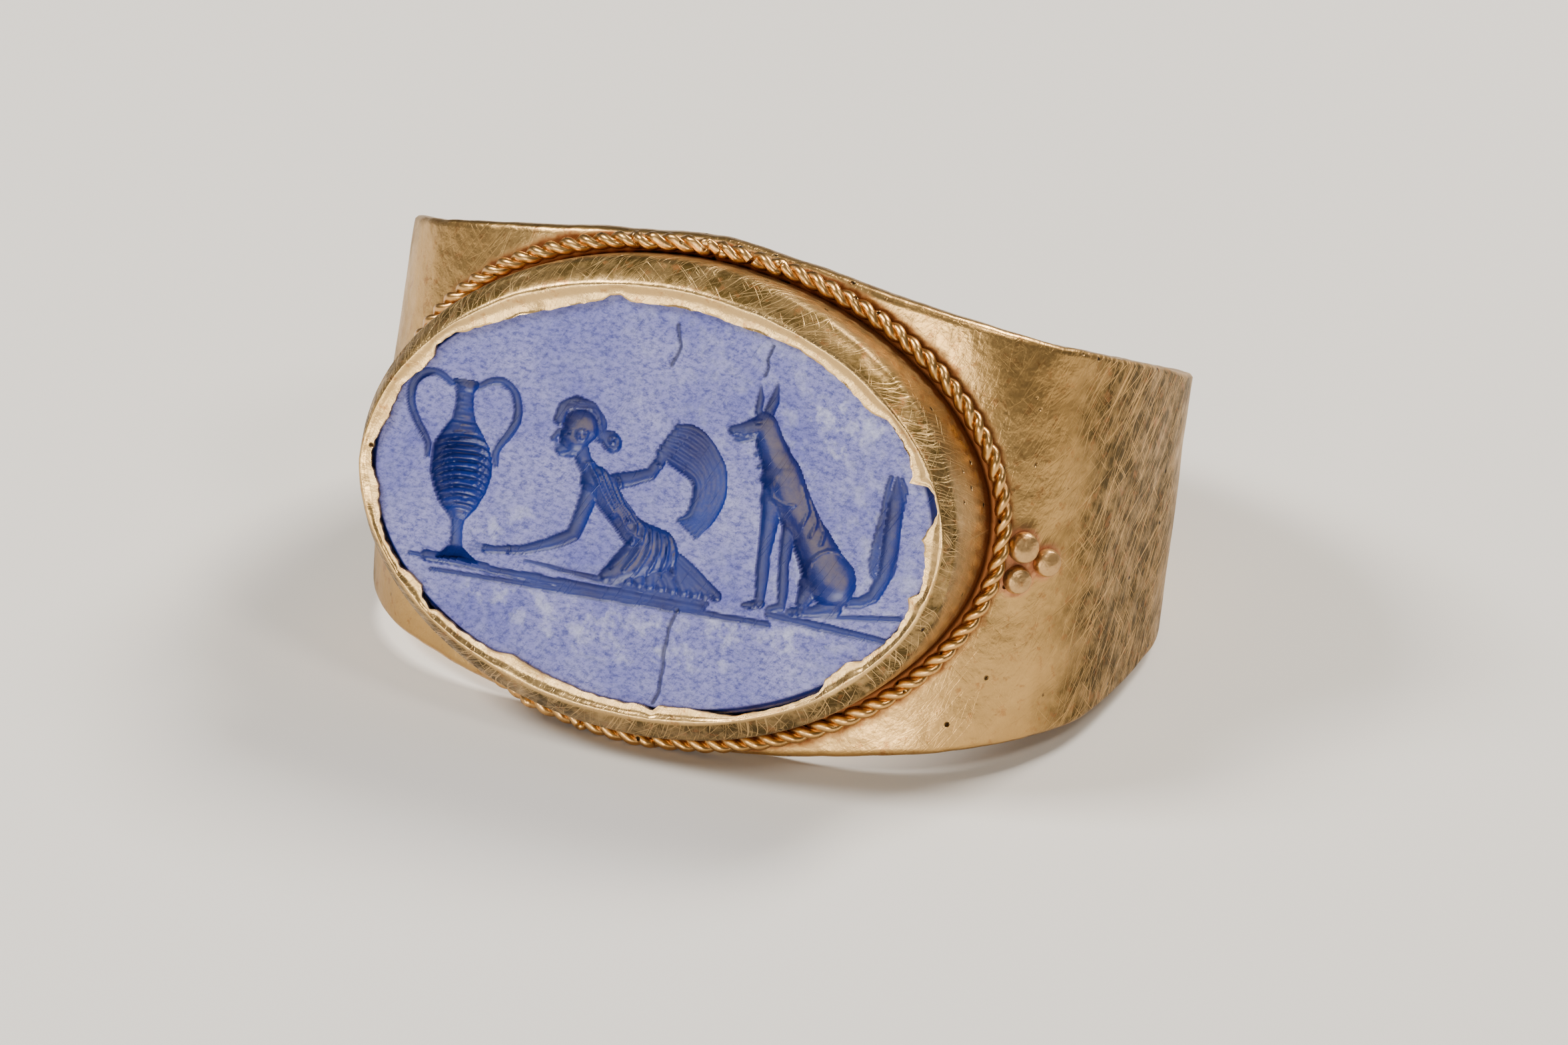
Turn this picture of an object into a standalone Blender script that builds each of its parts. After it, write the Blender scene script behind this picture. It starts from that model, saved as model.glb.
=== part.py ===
"""Finger ring of gold sheet set with an engraved oval gem of lapis lazuli.

The ring lies on its lower rim with the bezel towards -Y. The band is wide at the bezel and
narrow at the back, so the bezel looks slightly upwards. Lengths are in metres, +Z is up.
"""

import math

import bmesh
import bpy
import numpy as np
from mathutils import Euler, Matrix, Vector

MM = 0.001

# The hoop, an oval band of sheet with a flattened front
HOOP_HALF_SPAN = 9.98 * MM
HOOP_FRONT_DEPTH = 7.62 * MM
HOOP_BACK_DEPTH = 7.8 * MM
HOOP_SHEET = 0.6 * MM
HOOP_FRONT_HALF_WIDTH = 6.47 * MM
HOOP_BACK_HALF_WIDTH = 1.95 * MM
HOOP_TAPER_POWER = 1.56
SHOULDER_FULLNESS_MIDDLE = 3.6
SHOULDER_FULLNESS_RIM = 3.16
HOOP_RIM_BEVEL = 0.1 * MM
REST_FLAT_DEPTH = 0.12 * MM

# The bezel sits a little crooked on the hoop
BEZEL_SPIN = math.radians(3.45)
BEZEL_TURN = math.radians(-1.25)
BEZEL_SIDE_SHIFT = -0.12 * MM

# The gem, a flat oval slab with a bevelled edge
GEM_HALF_LENGTH = 7.78 * MM
GEM_HALF_WIDTH = 5.4 * MM
GEM_THICKNESS = 1.45 * MM
GEM_BEDDING = 0.25 * MM
GEM_EDGE_BEVEL = 0.16 * MM

# The collar round the gem, with its lip rubbed over the edge
COLLAR_WALL_ENDS = 0.27 * MM
COLLAR_WALL_SIDES = 0.67 * MM
COLLAR_FOOT_TUCK = 0.08 * MM
COLLAR_SHOULDER_TUCK = 0.1 * MM
COLLAR_CREST_TUCK = 0.32 * MM
COLLAR_SHOULDER_DROP = 0.4 * MM
COLLAR_WAIST_DROP = 0.75 * MM
LIP_COVER_ENDS = 0.28 * MM
LIP_COVER_SIDES = 0.3 * MM
LIP_THICKNESS = 0.12 * MM

# The rope of twisted wire round the foot of the collar
ROPE_RADIUS = 0.23 * MM
ROPE_FLATNESS = 0.62
ROPE_RIDGES = 96
ROPE_SEAM_ANGLE = math.radians(78)
ROPE_SEAM_GAP = 0.12 * MM

# Granules beside each end of the bezel: clear distance from the rope, height and radius
GRANULES = (
    ("upper", 0.04 * MM, 0.05 * MM, 0.4 * MM),
    ("outer", 0.77 * MM, -0.34 * MM, 0.36 * MM),
    ("lower", 0.04 * MM, -0.8 * MM, 0.36 * MM),
)
GRANULE_FLATNESS = 0.7
GRANULE_SUNK = 0.45

JOIN_GAP = 0.03 * MM

# How finely each piece is divided
HOOP_STEPS = 88
HOOP_ROWS = 4
COLLAR_STEPS = 64
ROPE_STEPS_PER_RIDGE = 4
ROPE_SIDES = 4
GEM_COLUMNS = 150
GEM_ROWS = 102
GEM_KEPT_FACES = 0.105
GRANULE_SIDES = 10
GRANULE_RINGS = 6

GOLD = ("gold", (0.72, 0.5, 0.22), 0.34, 1.0)
LAPIS = ("lapis", (0.13, 0.16, 0.5), 0.5, 0.0)


def clear_scene():
    for thing in list(bpy.data.objects):
        bpy.data.objects.remove(thing)


def new_collection(name):
    group = bpy.data.collections.new(name)
    bpy.context.scene.collection.children.link(group)
    return group


def material(label, colour, roughness, metallic):
    made = bpy.data.materials.get(label) or bpy.data.materials.new(label)
    made.use_nodes = True
    shader = made.node_tree.nodes["Principled BSDF"]
    shader.inputs["Base Color"].default_value = (*colour, 1.0)
    shader.inputs["Roughness"].default_value = roughness
    shader.inputs["Metallic"].default_value = metallic
    return made


def add_object(name, bm, group, parent, looks):
    mesh = bpy.data.meshes.new(name)
    bm.to_mesh(mesh)
    bm.free()
    made = bpy.data.objects.new(name, mesh)
    group.objects.link(made)
    made.parent = parent
    if looks:
        mesh.materials.append(material(f"{looks[0]}_{name}", *looks[1:]))
    return made


def mapped_grid(columns, rows, place):
    """A grid whose vertex at shares (across, up) of 0 to 1 goes to place(across, up)."""
    bm = bmesh.new()
    bmesh.ops.create_grid(bm, x_segments=columns, y_segments=rows, size=0.5)
    for vert in bm.verts:
        vert.co = place(vert.co.x + 0.5, vert.co.y + 0.5)
    return bm


def weld(bm):
    bmesh.ops.remove_doubles(bm, verts=bm.verts, dist=0.0001 * MM)


def face_outwards(bm):
    bmesh.ops.recalc_face_normals(bm, faces=bm.faces)
    if bm.calc_volume(signed=True) < 0:
        bmesh.ops.reverse_faces(bm, faces=bm.faces)


def signed_power(value, power):
    return math.copysign(abs(value) ** power, value)


def fullness(share):
    """Exponent of the front's rounded oblong, at a share of the half width."""
    return SHOULDER_FULLNESS_MIDDLE + (SHOULDER_FULLNESS_RIM - SHOULDER_FULLNESS_MIDDLE) * share**2


def outline(angle, share=0.0):
    """The hoop's outer face at an angle from the front, seen along the finger."""
    across = math.sin(angle)
    ahead = math.cos(angle)
    if ahead < 0.0:
        return Vector((HOOP_HALF_SPAN * across, -HOOP_BACK_DEPTH * ahead, 0.0))
    power = 2.0 / fullness(share)
    x = HOOP_HALF_SPAN * signed_power(across, power)
    return Vector((x, -HOOP_FRONT_DEPTH * ahead**power, 0.0))


def arc_table(samples=721):
    """Angles from the front to the back, and the length of outline up to each."""
    angles = np.linspace(0.0, math.pi, samples)
    points = [outline(angle) for angle in angles]
    steps = [(b - a).length for a, b in zip(points, points[1:])]
    return angles, np.concatenate(([0.0], np.cumsum(steps)))


ARC_ANGLES, ARC_LENGTHS = arc_table()
HALF_ROUND = float(ARC_LENGTHS[-1])


def half_width(arc):
    """Half the band's width at a length of outline from the front."""
    share = math.sin(0.5 * math.pi * min(abs(arc), HALF_ROUND) / HALF_ROUND)
    return HOOP_FRONT_HALF_WIDTH - (HOOP_FRONT_HALF_WIDTH - HOOP_BACK_HALF_WIDTH) * share**HOOP_TAPER_POWER


def arc_at(x):
    """Length of outline from the front to the front face's point at x."""
    share = min(abs(x) / HOOP_HALF_SPAN, 1.0)
    angle = math.asin(share ** (0.5 * SHOULDER_FULLNESS_MIDDLE))
    return float(np.interp(angle, ARC_ANGLES, ARC_LENGTHS))


def surface_depth(x, z):
    """How far the hoop's front face stands before the finger axis at x and z."""
    share = min(abs(z) / half_width(arc_at(x)), 1.0)
    power = fullness(share)
    inside = max(1.0 - abs(x / HOOP_HALF_SPAN) ** power, 0.0)
    return HOOP_FRONT_DEPTH * inside ** (1.0 / power)


def surface_slope(x, z, step=0.05 * MM):
    return (surface_depth(x + step, z) - surface_depth(x - step, z)) / (2.0 * step)


# The tilt that sets the front rim's inner edge and the back rim's outer edge on one plane
REST_TILT = math.atan2(
    HOOP_FRONT_HALF_WIDTH - HOOP_BACK_HALF_WIDTH,
    HOOP_FRONT_DEPTH - HOOP_SHEET + HOOP_BACK_DEPTH,
)
REST_HEIGHT = (
    HOOP_BACK_HALF_WIDTH * math.cos(REST_TILT)
    + HOOP_BACK_DEPTH * math.sin(REST_TILT)
    - REST_FLAT_DEPTH
)

BEZEL_PLACE = Matrix.Translation((BEZEL_SIDE_SHIFT, 0.0, 0.0)) @ Euler(
    (0.0, -BEZEL_SPIN, BEZEL_TURN)
).to_matrix().to_4x4()

GEM_BACK = HOOP_FRONT_DEPTH + GEM_BEDDING
GEM_TABLE = GEM_BACK + GEM_THICKNESS
COLLAR_HALF_LENGTH = GEM_HALF_LENGTH + JOIN_GAP + COLLAR_WALL_ENDS
COLLAR_HALF_WIDTH = GEM_HALF_WIDTH + JOIN_GAP + COLLAR_WALL_SIDES
LIP_TOP = GEM_TABLE + JOIN_GAP + LIP_THICKNESS


def seat(u, v, lift):
    """Depth at which a point of the bezel clears the hoop's front face by lift."""
    depth = HOOP_FRONT_DEPTH
    for _ in range(8):
        point = BEZEL_PLACE @ Vector((u, -depth, v))
        slope = surface_slope(point.x, point.z)
        wanted = surface_depth(point.x, point.z) + lift * math.sqrt(1.0 + slope * slope)
        depth += wanted + point.y
    return depth


def build_hoop(group, parent):
    def place(around, up):
        arc = (2.0 * around - 1.0) * HALF_ROUND
        angle = math.copysign(float(np.interp(abs(arc), ARC_LENGTHS, ARC_ANGLES)), arc)
        share = 2.0 * up - 1.0
        point = outline(angle, share)
        point.z = share * half_width(arc)
        return point

    bm = mapped_grid(HOOP_STEPS, HOOP_ROWS, place)
    weld(bm)
    hoop = add_object("hoop", bm, group, parent, GOLD)
    shell = hoop.modifiers.new("sheet", "SOLIDIFY")
    shell.thickness = HOOP_SHEET
    shell.offset = -1.0
    shell.use_even_offset = True
    rim = hoop.modifiers.new("worn rim", "BEVEL")
    rim.width = HOOP_RIM_BEVEL
    rim.segments = 1
    rim.limit_method = "ANGLE"
    rim.angle_limit = math.radians(50)
    return hoop


def cut_rest_flats(hoop, group):
    """Small flats where the lower rim bears, cut by a block that ends at the ground."""
    bm = bmesh.new()
    bmesh.ops.create_cube(bm, size=4.0 * HOOP_HALF_SPAN)
    bmesh.ops.translate(bm, verts=bm.verts, vec=(0.0, 0.0, -2.0 * HOOP_HALF_SPAN))
    block = add_object("ground_cutter", bm, group, None, None)
    block.hide_render = True
    block.display_type = "WIRE"
    cut = hoop.modifiers.new("rest flats", "BOOLEAN")
    cut.operation = "DIFFERENCE"
    cut.solver = "EXACT"
    cut.object = block


def lip_wave(angle):
    """The rubbed lip's inner edge wanders in and out by a few hundredths."""
    slow = math.sin(5.0 * angle + 0.6) * math.sin(2.0 * angle + 1.1)
    quick = math.sin(13.0 * angle + 2.0) * math.cos(3.0 * angle)
    return 1.0 + 0.014 * slow + 0.008 * quick


def collar_profile(angle):
    """Points round the wall's section: semi-axes and depth, or no depth at the foot."""
    length, width = COLLAR_HALF_LENGTH, COLLAR_HALF_WIDTH
    hole = (GEM_HALF_LENGTH + JOIN_GAP, GEM_HALF_WIDTH + JOIN_GAP)
    wave = lip_wave(angle)
    edge = ((GEM_HALF_LENGTH - LIP_COVER_ENDS) * wave, (GEM_HALF_WIDTH - LIP_COVER_SIDES) * wave)
    crest = (length - COLLAR_CREST_TUCK * COLLAR_WALL_ENDS / COLLAR_WALL_SIDES, width - COLLAR_CREST_TUCK)
    return (
        (length - COLLAR_FOOT_TUCK, width - COLLAR_FOOT_TUCK, None),
        (length, width, LIP_TOP - COLLAR_WAIST_DROP),
        (length - COLLAR_SHOULDER_TUCK, width - COLLAR_SHOULDER_TUCK, LIP_TOP - COLLAR_SHOULDER_DROP),
        (*crest, LIP_TOP),
        (*edge, LIP_TOP - 0.4 * LIP_THICKNESS),
        (*edge, GEM_TABLE + JOIN_GAP),
        (*hole, GEM_TABLE + JOIN_GAP),
        (*hole, None),
    )


def build_collar(group, parent):
    points = len(collar_profile(0.0))

    def place(around, up):
        angle = 2.0 * math.pi * around
        a, b, depth = collar_profile(angle)[round(up * points) % points]
        u, v = a * math.cos(angle), b * math.sin(angle)
        if depth is None:
            depth = seat(u, v, JOIN_GAP)
        return Vector((u, -depth, v))

    bm = mapped_grid(COLLAR_STEPS, points, place)
    weld(bm)
    face_outwards(bm)
    return add_object("bezel_collar", bm, group, parent, GOLD)


def rope_centre(angle):
    reach = JOIN_GAP + ROPE_RADIUS
    u = (COLLAR_HALF_LENGTH + reach) * math.cos(angle)
    v = (COLLAR_HALF_WIDTH + reach) * math.sin(angle)
    return Vector((u, -seat(u, v, reach), v))


def rope_path(steps):
    """Evenly spaced points round the collar, open at the seam."""
    seam = 0.5 * ROPE_SEAM_GAP / COLLAR_HALF_LENGTH
    angles = np.linspace(ROPE_SEAM_ANGLE + seam, ROPE_SEAM_ANGLE + 2.0 * math.pi - seam, 361)
    points = [rope_centre(angle) for angle in angles]
    lengths = np.concatenate(([0.0], np.cumsum([(b - a).length for a, b in zip(points, points[1:])])))
    wanted = np.linspace(0.0, lengths[-1], steps + 1)
    return [Vector([np.interp(s, lengths, [p[k] for p in points]) for k in range(3)]) for s in wanted]


def build_rope(group, parent):
    """Two wires twisted together, drawn as one bar with a flattened section that turns."""
    steps = ROPE_RIDGES * ROPE_STEPS_PER_RIDGE
    path = rope_path(steps)

    def place(along, around):
        index = round(along * steps)
        before, after = path[max(index - 1, 0)], path[min(index + 1, steps)]
        tangent = (after - before).normalized()
        outward = Vector((0.0, -1.0, 0.0))
        side = tangent.cross(outward).normalized()
        outward = side.cross(tangent)
        turn = 2.0 * math.pi * around
        twist = math.pi * index / ROPE_STEPS_PER_RIDGE
        wide, thin = ROPE_RADIUS * math.cos(turn), ROPE_RADIUS * ROPE_FLATNESS * math.sin(turn)
        along_side = wide * math.cos(twist) - thin * math.sin(twist)
        along_out = wide * math.sin(twist) + thin * math.cos(twist)
        return path[index] + side * along_side + outward * along_out

    bm = mapped_grid(steps, ROPE_SIDES, place)
    weld(bm)
    bmesh.ops.holes_fill(bm, edges=[edge for edge in bm.edges if edge.is_boundary], sides=ROPE_SIDES)
    face_outwards(bm)
    return add_object("rope_border", bm, group, parent, GOLD)


def granule_mesh(radius):
    bm = bmesh.new()
    bmesh.ops.create_uvsphere(bm, u_segments=GRANULE_SIDES, v_segments=GRANULE_RINGS, radius=radius)
    floor = -GRANULE_SUNK * radius * GRANULE_FLATNESS
    for vert in bm.verts:
        vert.co.z = max(vert.co.z * GRANULE_FLATNESS, floor)
    bmesh.ops.translate(bm, verts=bm.verts, vec=(0.0, 0.0, -floor))
    return bm


def band_point(arc, z):
    """A point of the band's outer face at a length of outline from the front and a height."""
    angle = math.copysign(float(np.interp(abs(arc), ARC_LENGTHS, ARC_ANGLES)), arc)
    point = outline(angle, min(abs(z) / half_width(arc), 1.0))
    point.z = z
    return point


def build_granule(name, arc, z, radius, group, parent):
    """A flattened bead whose base stands just off the band, square to it."""
    granule = add_object(name, granule_mesh(radius), group, parent, GOLD)
    reach = math.copysign(0.5 * radius, arc)
    along = band_point(arc + reach, z) - band_point(arc - reach, z)
    normal = Vector((along.y, -along.x, 0.0)).normalized() * math.copysign(1.0, arc)
    foot = band_point(arc, z) + normal * JOIN_GAP
    granule.matrix_local = Matrix.Translation(foot) @ normal.to_track_quat("Z", "Y").to_matrix().to_4x4()
    return granule


# The carving. Its points are hundredths of the visible gem's half length, from the middle
HUNDREDTH = (GEM_HALF_LENGTH - LIP_COVER_ENDS) / 100.0
CARVING_DEPTH = 0.72

AMPHORA_AXIS = -69.5
AMPHORA_PROFILE = (
    (31, 5), (29, 4), (24, 3.6), (18, 4.6), (10, 10), (5, 11),
    (-3, 10.5), (-13, 5.6), (-16, 2.6), (-25, 2.4), (-28, 7), (-30, 8.5),
)
AMPHORA_HANDLE = (
    (5, 30, 1.6), (13, 33, 1.7), (18.5, 29, 1.8), (19, 21, 1.8),
    (16, 14, 1.7), (12.4, 9, 1.6), (12, 4, 1.2),
)

GROUND_LINES = (
    ((-84, -31, 1.6), (20, -33.5, 1.8)),
    ((-75, -34.5, 1.5), (43, -35, 1.6)),
    ((-44, -26.3, 1.3), (21, -31.5, 1.5)),
    ((44, -32, 1.6), (88, -35.5, 1.7)),
    ((47, -31.5, 1.2), (91, -27, 1.4)),
)

KNEELER = (
    ((-30, 17, 6), (-27.5, 22, 6.6)),
    ((-32, 14, 2.6), (-29, 16, 4)),
    ((-34, 26, 3.4), (-27, 29, 4), (-20.5, 24, 4), (-20, 18, 3)),
    ((-16.5, 18.5, 3.6), (-16, 18, 3.6)),
    ((-26, 13, 3.2), (-22, 7, 3.6)),
    ((-20, 4, 6), (-8, -9, 5.4), (3, -16, 8)),
    ((3, -16, 8), (-12, -26.5, 4)),
    ((-21.5, 2, 3.2), (-27, -15.5, 2.6), (-46, -23, 1.9), (-58, -24.7, 1.7)),
    ((-13, 5, 2.8), (-1, 9.5, 2.2), (6.5, 23, 1.7)),
)
KNEELER_FOLDS = (-13, -7, -1, 5, 11, 17, 23)
KNEELER_WAIST = (-1, -10, 2.6)
KNEELER_HEM = (-27.5, 3)
VEIL_FOLDS = (
    ((7, 25), (20, 21), (24, 5), (17, -9)),
    ((5, 22), (16, 17), (19.5, 4), (13, -9)),
    ((2, 17), (11, 13), (14.5, 3), (9, -9)),
)
VEIL_FOLD_RADIUS = 2.1

HOUND = (
    ((37, 31.5, 5.4), (28, 27.5, 2.3)),
    ((39, 36, 2.2), (42, 45.5, 0.9)),
    ((35.5, 36.5, 1.6), (36, 44.5, 0.8)),
    ((39, 29, 5), (46, 16, 7)),
    ((46.5, 13, 8), (56, -2, 6.6), (65, -17, 10)),
    ((43.5, 6, 3.8), (41.5, -12, 2.4), (41, -28, 2)),
    ((41, -29, 2.2), (36.5, -30, 1.5)),
    ((49, 2, 3.2), (48.5, -13, 2.1), (48.5, -28, 1.8)),
    ((48.5, -29, 2), (44.5, -30, 1.4)),
    ((66, -26, 4), (53.5, -29.5, 2)),
    ((72, -24, 2.4), (80, -21, 2.4), (85, -9, 3), (85.5, 4, 3.4), (87, 15, 1.4)),
)


def groove(u, v, start, end):
    """Depth of a round-bottomed cut whose radius runs from one end's to the other's."""
    (ax, ay, ar), (bx, by, br) = start, end
    dx, dy = bx - ax, by - ay
    share = np.clip(((u - ax) * dx + (v - ay) * dy) / (dx * dx + dy * dy), 0.0, 1.0)
    radius = ar + (br - ar) * share
    away = (u - ax - share * dx) ** 2 + (v - ay - share * dy) ** 2
    return np.sqrt(np.maximum(radius * radius - away, 0.0))


def limb(u, v, points):
    return np.maximum.reduce([groove(u, v, a, b) for a, b in zip(points, points[1:])])


def amphora(u, v):
    """A jar on a stem with two handles, cut as if turned on its own axis."""
    heights, radii = zip(*reversed(AMPHORA_PROFILE))
    radius = np.interp(v, heights, radii, left=0.0, right=0.0)
    jar = np.sqrt(np.maximum(radius**2 - (u - AMPHORA_AXIS) ** 2, 0.0))
    handles = [
        limb(side * (u - AMPHORA_AXIS), v, AMPHORA_HANDLE)
        for side in (-1.0, 1.0)
    ]
    return np.maximum.reduce([jar, *handles])


def kneeler(u, v):
    """A draped woman who kneels and reaches one hand to the jar's foot."""
    parts = [limb(u, v, points) for points in KNEELER]
    height, radius = KNEELER_HEM
    parts += [groove(u, v, KNEELER_WAIST, (hem, height, radius)) for hem in KNEELER_FOLDS]
    for fold in VEIL_FOLDS:
        parts.append(limb(u, v, [(*point, VEIL_FOLD_RADIUS) for point in fold]))
    return np.maximum.reduce(parts)


def hound(u, v):
    """A hound that sits behind her and looks the same way."""
    return np.maximum.reduce([limb(u, v, points) for points in HOUND])


def carving(u, v):
    ground = [groove(u, v, start, end) for start, end in GROUND_LINES]
    return np.maximum.reduce([amphora(u, v), kneeler(u, v), hound(u, v), *ground])


def build_gem(group, parent):
    table_length = GEM_HALF_LENGTH - GEM_EDGE_BEVEL
    table_width = GEM_HALF_WIDTH - GEM_EDGE_BEVEL

    def place(across, up):
        s, t = 2.0 * across - 1.0, 2.0 * up - 1.0
        u = table_length * s * math.sqrt(1.0 - 0.5 * t * t)
        v = table_width * t * math.sqrt(1.0 - 0.5 * s * s)
        return Vector((u, -GEM_TABLE, v))

    bm = mapped_grid(GEM_COLUMNS, GEM_ROWS, place)
    engrave(bm)
    for vert in extrude_rim(bm):
        vert.co.x *= GEM_HALF_LENGTH / table_length
        vert.co.z *= GEM_HALF_WIDTH / table_width
        vert.co.y = -(GEM_TABLE - GEM_EDGE_BEVEL)
    for vert in extrude_rim(bm):
        vert.co.y = -GEM_BACK
    bmesh.ops.contextual_create(bm, geom=[edge for edge in bm.edges if edge.is_boundary])
    face_outwards(bm)
    gem = add_object("gem", bm, group, parent, LAPIS)
    fewer = gem.modifiers.new("fewer faces where it is flat", "DECIMATE")
    fewer.ratio = GEM_KEPT_FACES
    return gem


def engrave(bm):
    """Sink the table's points to the depth of the carving under them."""
    places = np.array([vert.co for vert in bm.verts]) / HUNDREDTH
    for vert, depth in zip(bm.verts, carving(places[:, 0], places[:, 2])):
        vert.co.y += float(depth) * HUNDREDTH * CARVING_DEPTH


def extrude_rim(bm):
    rim = [edge for edge in bm.edges if edge.is_boundary]
    made = bmesh.ops.extrude_edge_only(bm, edges=rim)["geom"]
    return [item for item in made if isinstance(item, bmesh.types.BMVert)]


def add_frame(name, group, parent):
    frame = bpy.data.objects.new(name, None)
    group.objects.link(frame)
    frame.parent = parent
    return frame


def centre_on_origin(frame, group):
    """Move the ring sideways so that its box stands centred over the origin."""
    bpy.context.view_layer.update()
    graph = bpy.context.evaluated_depsgraph_get()
    low, high = Vector((math.inf,) * 3), Vector((-math.inf,) * 3)
    for thing in group.objects:
        if thing.type != "MESH":
            continue
        shape = thing.evaluated_get(graph)
        for vert in shape.data.vertices:
            point = shape.matrix_world @ vert.co
            low = Vector(map(min, low, point))
            high = Vector(map(max, high, point))
    frame.location.x -= 0.5 * (low.x + high.x)
    frame.location.y -= 0.5 * (low.y + high.y)


def main():
    clear_scene()
    group = new_collection("intaglio_ring")
    cutters = new_collection("cutters")
    ring_frame = add_frame("ring_frame", group, None)
    ring_frame.rotation_euler.x = -REST_TILT
    ring_frame.location.z = REST_HEIGHT
    bezel_frame = add_frame("bezel_frame", group, ring_frame)
    bezel_frame.matrix_local = BEZEL_PLACE
    hoop = build_hoop(group, ring_frame)
    cut_rest_flats(hoop, cutters)
    build_collar(group, bezel_frame)
    build_rope(group, bezel_frame)
    build_gem(group, bezel_frame)
    for side, sign in (("right", 1.0), ("left", -1.0)):
        sideways = BEZEL_SIDE_SHIFT + GEM_BACK * math.sin(BEZEL_TURN)
        rope_arc = arc_at(COLLAR_HALF_LENGTH + JOIN_GAP + ROPE_RADIUS + sign * sideways)
        for label, clearance, z, radius in GRANULES:
            arc = sign * (rope_arc + clearance + radius)
            build_granule(f"granule_{side}_{label}", arc, z, radius, group, ring_frame)
    centre_on_origin(ring_frame, group)


main()
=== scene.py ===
# %% [markdown]
# # A gold finger ring set with an engraved lapis gem
# The ring lies on its lower rim and the gem looks slightly upwards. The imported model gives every
# piece its place. This lesson replaces its plain solids with finely divided meshes, one piece at a
# time, and gives each a finish worked out from the real material.

# %% Load the frame
import math

import bmesh
import bpy
import numpy as np
from mathutils import Euler, Matrix, Vector, noise
from mathutils.bvhtree import BVHTree


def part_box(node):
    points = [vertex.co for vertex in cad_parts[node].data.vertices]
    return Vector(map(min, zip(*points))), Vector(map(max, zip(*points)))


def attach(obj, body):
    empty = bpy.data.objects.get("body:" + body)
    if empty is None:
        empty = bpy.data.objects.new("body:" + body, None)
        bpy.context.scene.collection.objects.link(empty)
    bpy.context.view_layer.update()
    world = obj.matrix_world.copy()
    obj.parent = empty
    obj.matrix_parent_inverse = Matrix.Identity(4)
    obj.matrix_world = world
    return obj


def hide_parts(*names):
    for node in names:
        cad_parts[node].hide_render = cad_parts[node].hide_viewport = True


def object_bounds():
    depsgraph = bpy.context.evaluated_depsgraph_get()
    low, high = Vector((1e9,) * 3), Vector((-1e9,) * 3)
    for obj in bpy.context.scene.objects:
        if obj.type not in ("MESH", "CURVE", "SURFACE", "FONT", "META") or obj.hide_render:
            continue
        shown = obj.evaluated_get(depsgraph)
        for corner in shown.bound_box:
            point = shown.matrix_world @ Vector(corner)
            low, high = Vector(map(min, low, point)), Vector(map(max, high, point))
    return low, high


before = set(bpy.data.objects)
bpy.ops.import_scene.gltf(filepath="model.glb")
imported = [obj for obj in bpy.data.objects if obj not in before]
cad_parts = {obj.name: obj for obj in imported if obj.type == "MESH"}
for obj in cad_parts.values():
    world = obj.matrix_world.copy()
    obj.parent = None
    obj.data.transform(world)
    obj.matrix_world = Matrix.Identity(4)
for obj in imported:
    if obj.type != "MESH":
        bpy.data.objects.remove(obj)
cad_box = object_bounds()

MM = 0.001
print("nodes in the frame:", sorted(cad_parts))

# %% [markdown]
# ## Where things are
# Shapes are worked out in millimetres in two small frames: the ring's own, tilted because the band
# is wide in front and narrow behind, and the bezel's, which sits a little askew on it. In the
# bezel's frame u runs along the gem, v across it, and depth stands out towards the viewer.

# %% The hoop's sizes, in millimetres
HOOP_HALF_SPAN = 9.98
HOOP_FRONT_DEPTH = 7.62
HOOP_BACK_DEPTH = 7.8
HOOP_SHEET = 0.6
HOOP_FRONT_HALF_WIDTH = 6.47
HOOP_BACK_HALF_WIDTH = 1.95
HOOP_TAPER_POWER = 1.56
SHOULDER_FULLNESS_MIDDLE = 3.6
SHOULDER_FULLNESS_RIM = 3.16
REST_FLAT_DEPTH = 0.12

# %% The bezel's sizes, in millimetres
GEM_HALF_LENGTH = 7.78
GEM_HALF_WIDTH = 5.4
GEM_THICKNESS = 1.45
GEM_BEDDING = 0.25
GEM_EDGE_BEVEL = 0.07
COLLAR_HALF_LENGTH = 8.08
COLLAR_HALF_WIDTH = 6.1
JOIN_GAP = 0.03
LIP_THICKNESS = 0.12
ROPE_RADIUS = 0.23
GEM_BACK = HOOP_FRONT_DEPTH + GEM_BEDDING
GEM_TABLE = GEM_BACK + GEM_THICKNESS
LIP_TOP = GEM_TABLE + JOIN_GAP + LIP_THICKNESS
ROPE_LIFT = JOIN_GAP + ROPE_RADIUS
ROPE_HALF_LENGTH = COLLAR_HALF_LENGTH + JOIN_GAP + ROPE_RADIUS
ROPE_HALF_WIDTH = COLLAR_HALF_WIDTH + JOIN_GAP + ROPE_RADIUS

# %% The two frames
TILT = math.atan2(
    HOOP_FRONT_HALF_WIDTH - HOOP_BACK_HALF_WIDTH,
    HOOP_FRONT_DEPTH - HOOP_SHEET + HOOP_BACK_DEPTH,
)
RING_HEIGHT = (
    HOOP_BACK_HALF_WIDTH * math.cos(TILT) + HOOP_BACK_DEPTH * math.sin(TILT) - REST_FLAT_DEPTH
)
hoop_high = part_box("hoop")[1]
BACK_REACH = HOOP_BACK_DEPTH * math.cos(TILT) + HOOP_BACK_HALF_WIDTH * math.sin(TILT)
RING_SHIFT = hoop_high.y / MM - BACK_REACH
RING = Matrix.Translation((0.0, RING_SHIFT, RING_HEIGHT)) @ Matrix.Rotation(-TILT, 4, "X")
BEZEL_SPIN = math.radians(3.45)
BEZEL_TURN = math.radians(-1.25)
BEZEL_SHIFT = -0.12
bezel_turned = Euler((0.0, -BEZEL_SPIN, BEZEL_TURN)).to_matrix().to_4x4()
BEZEL = RING @ Matrix.Translation((BEZEL_SHIFT, 0.0, 0.0)) @ bezel_turned
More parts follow.
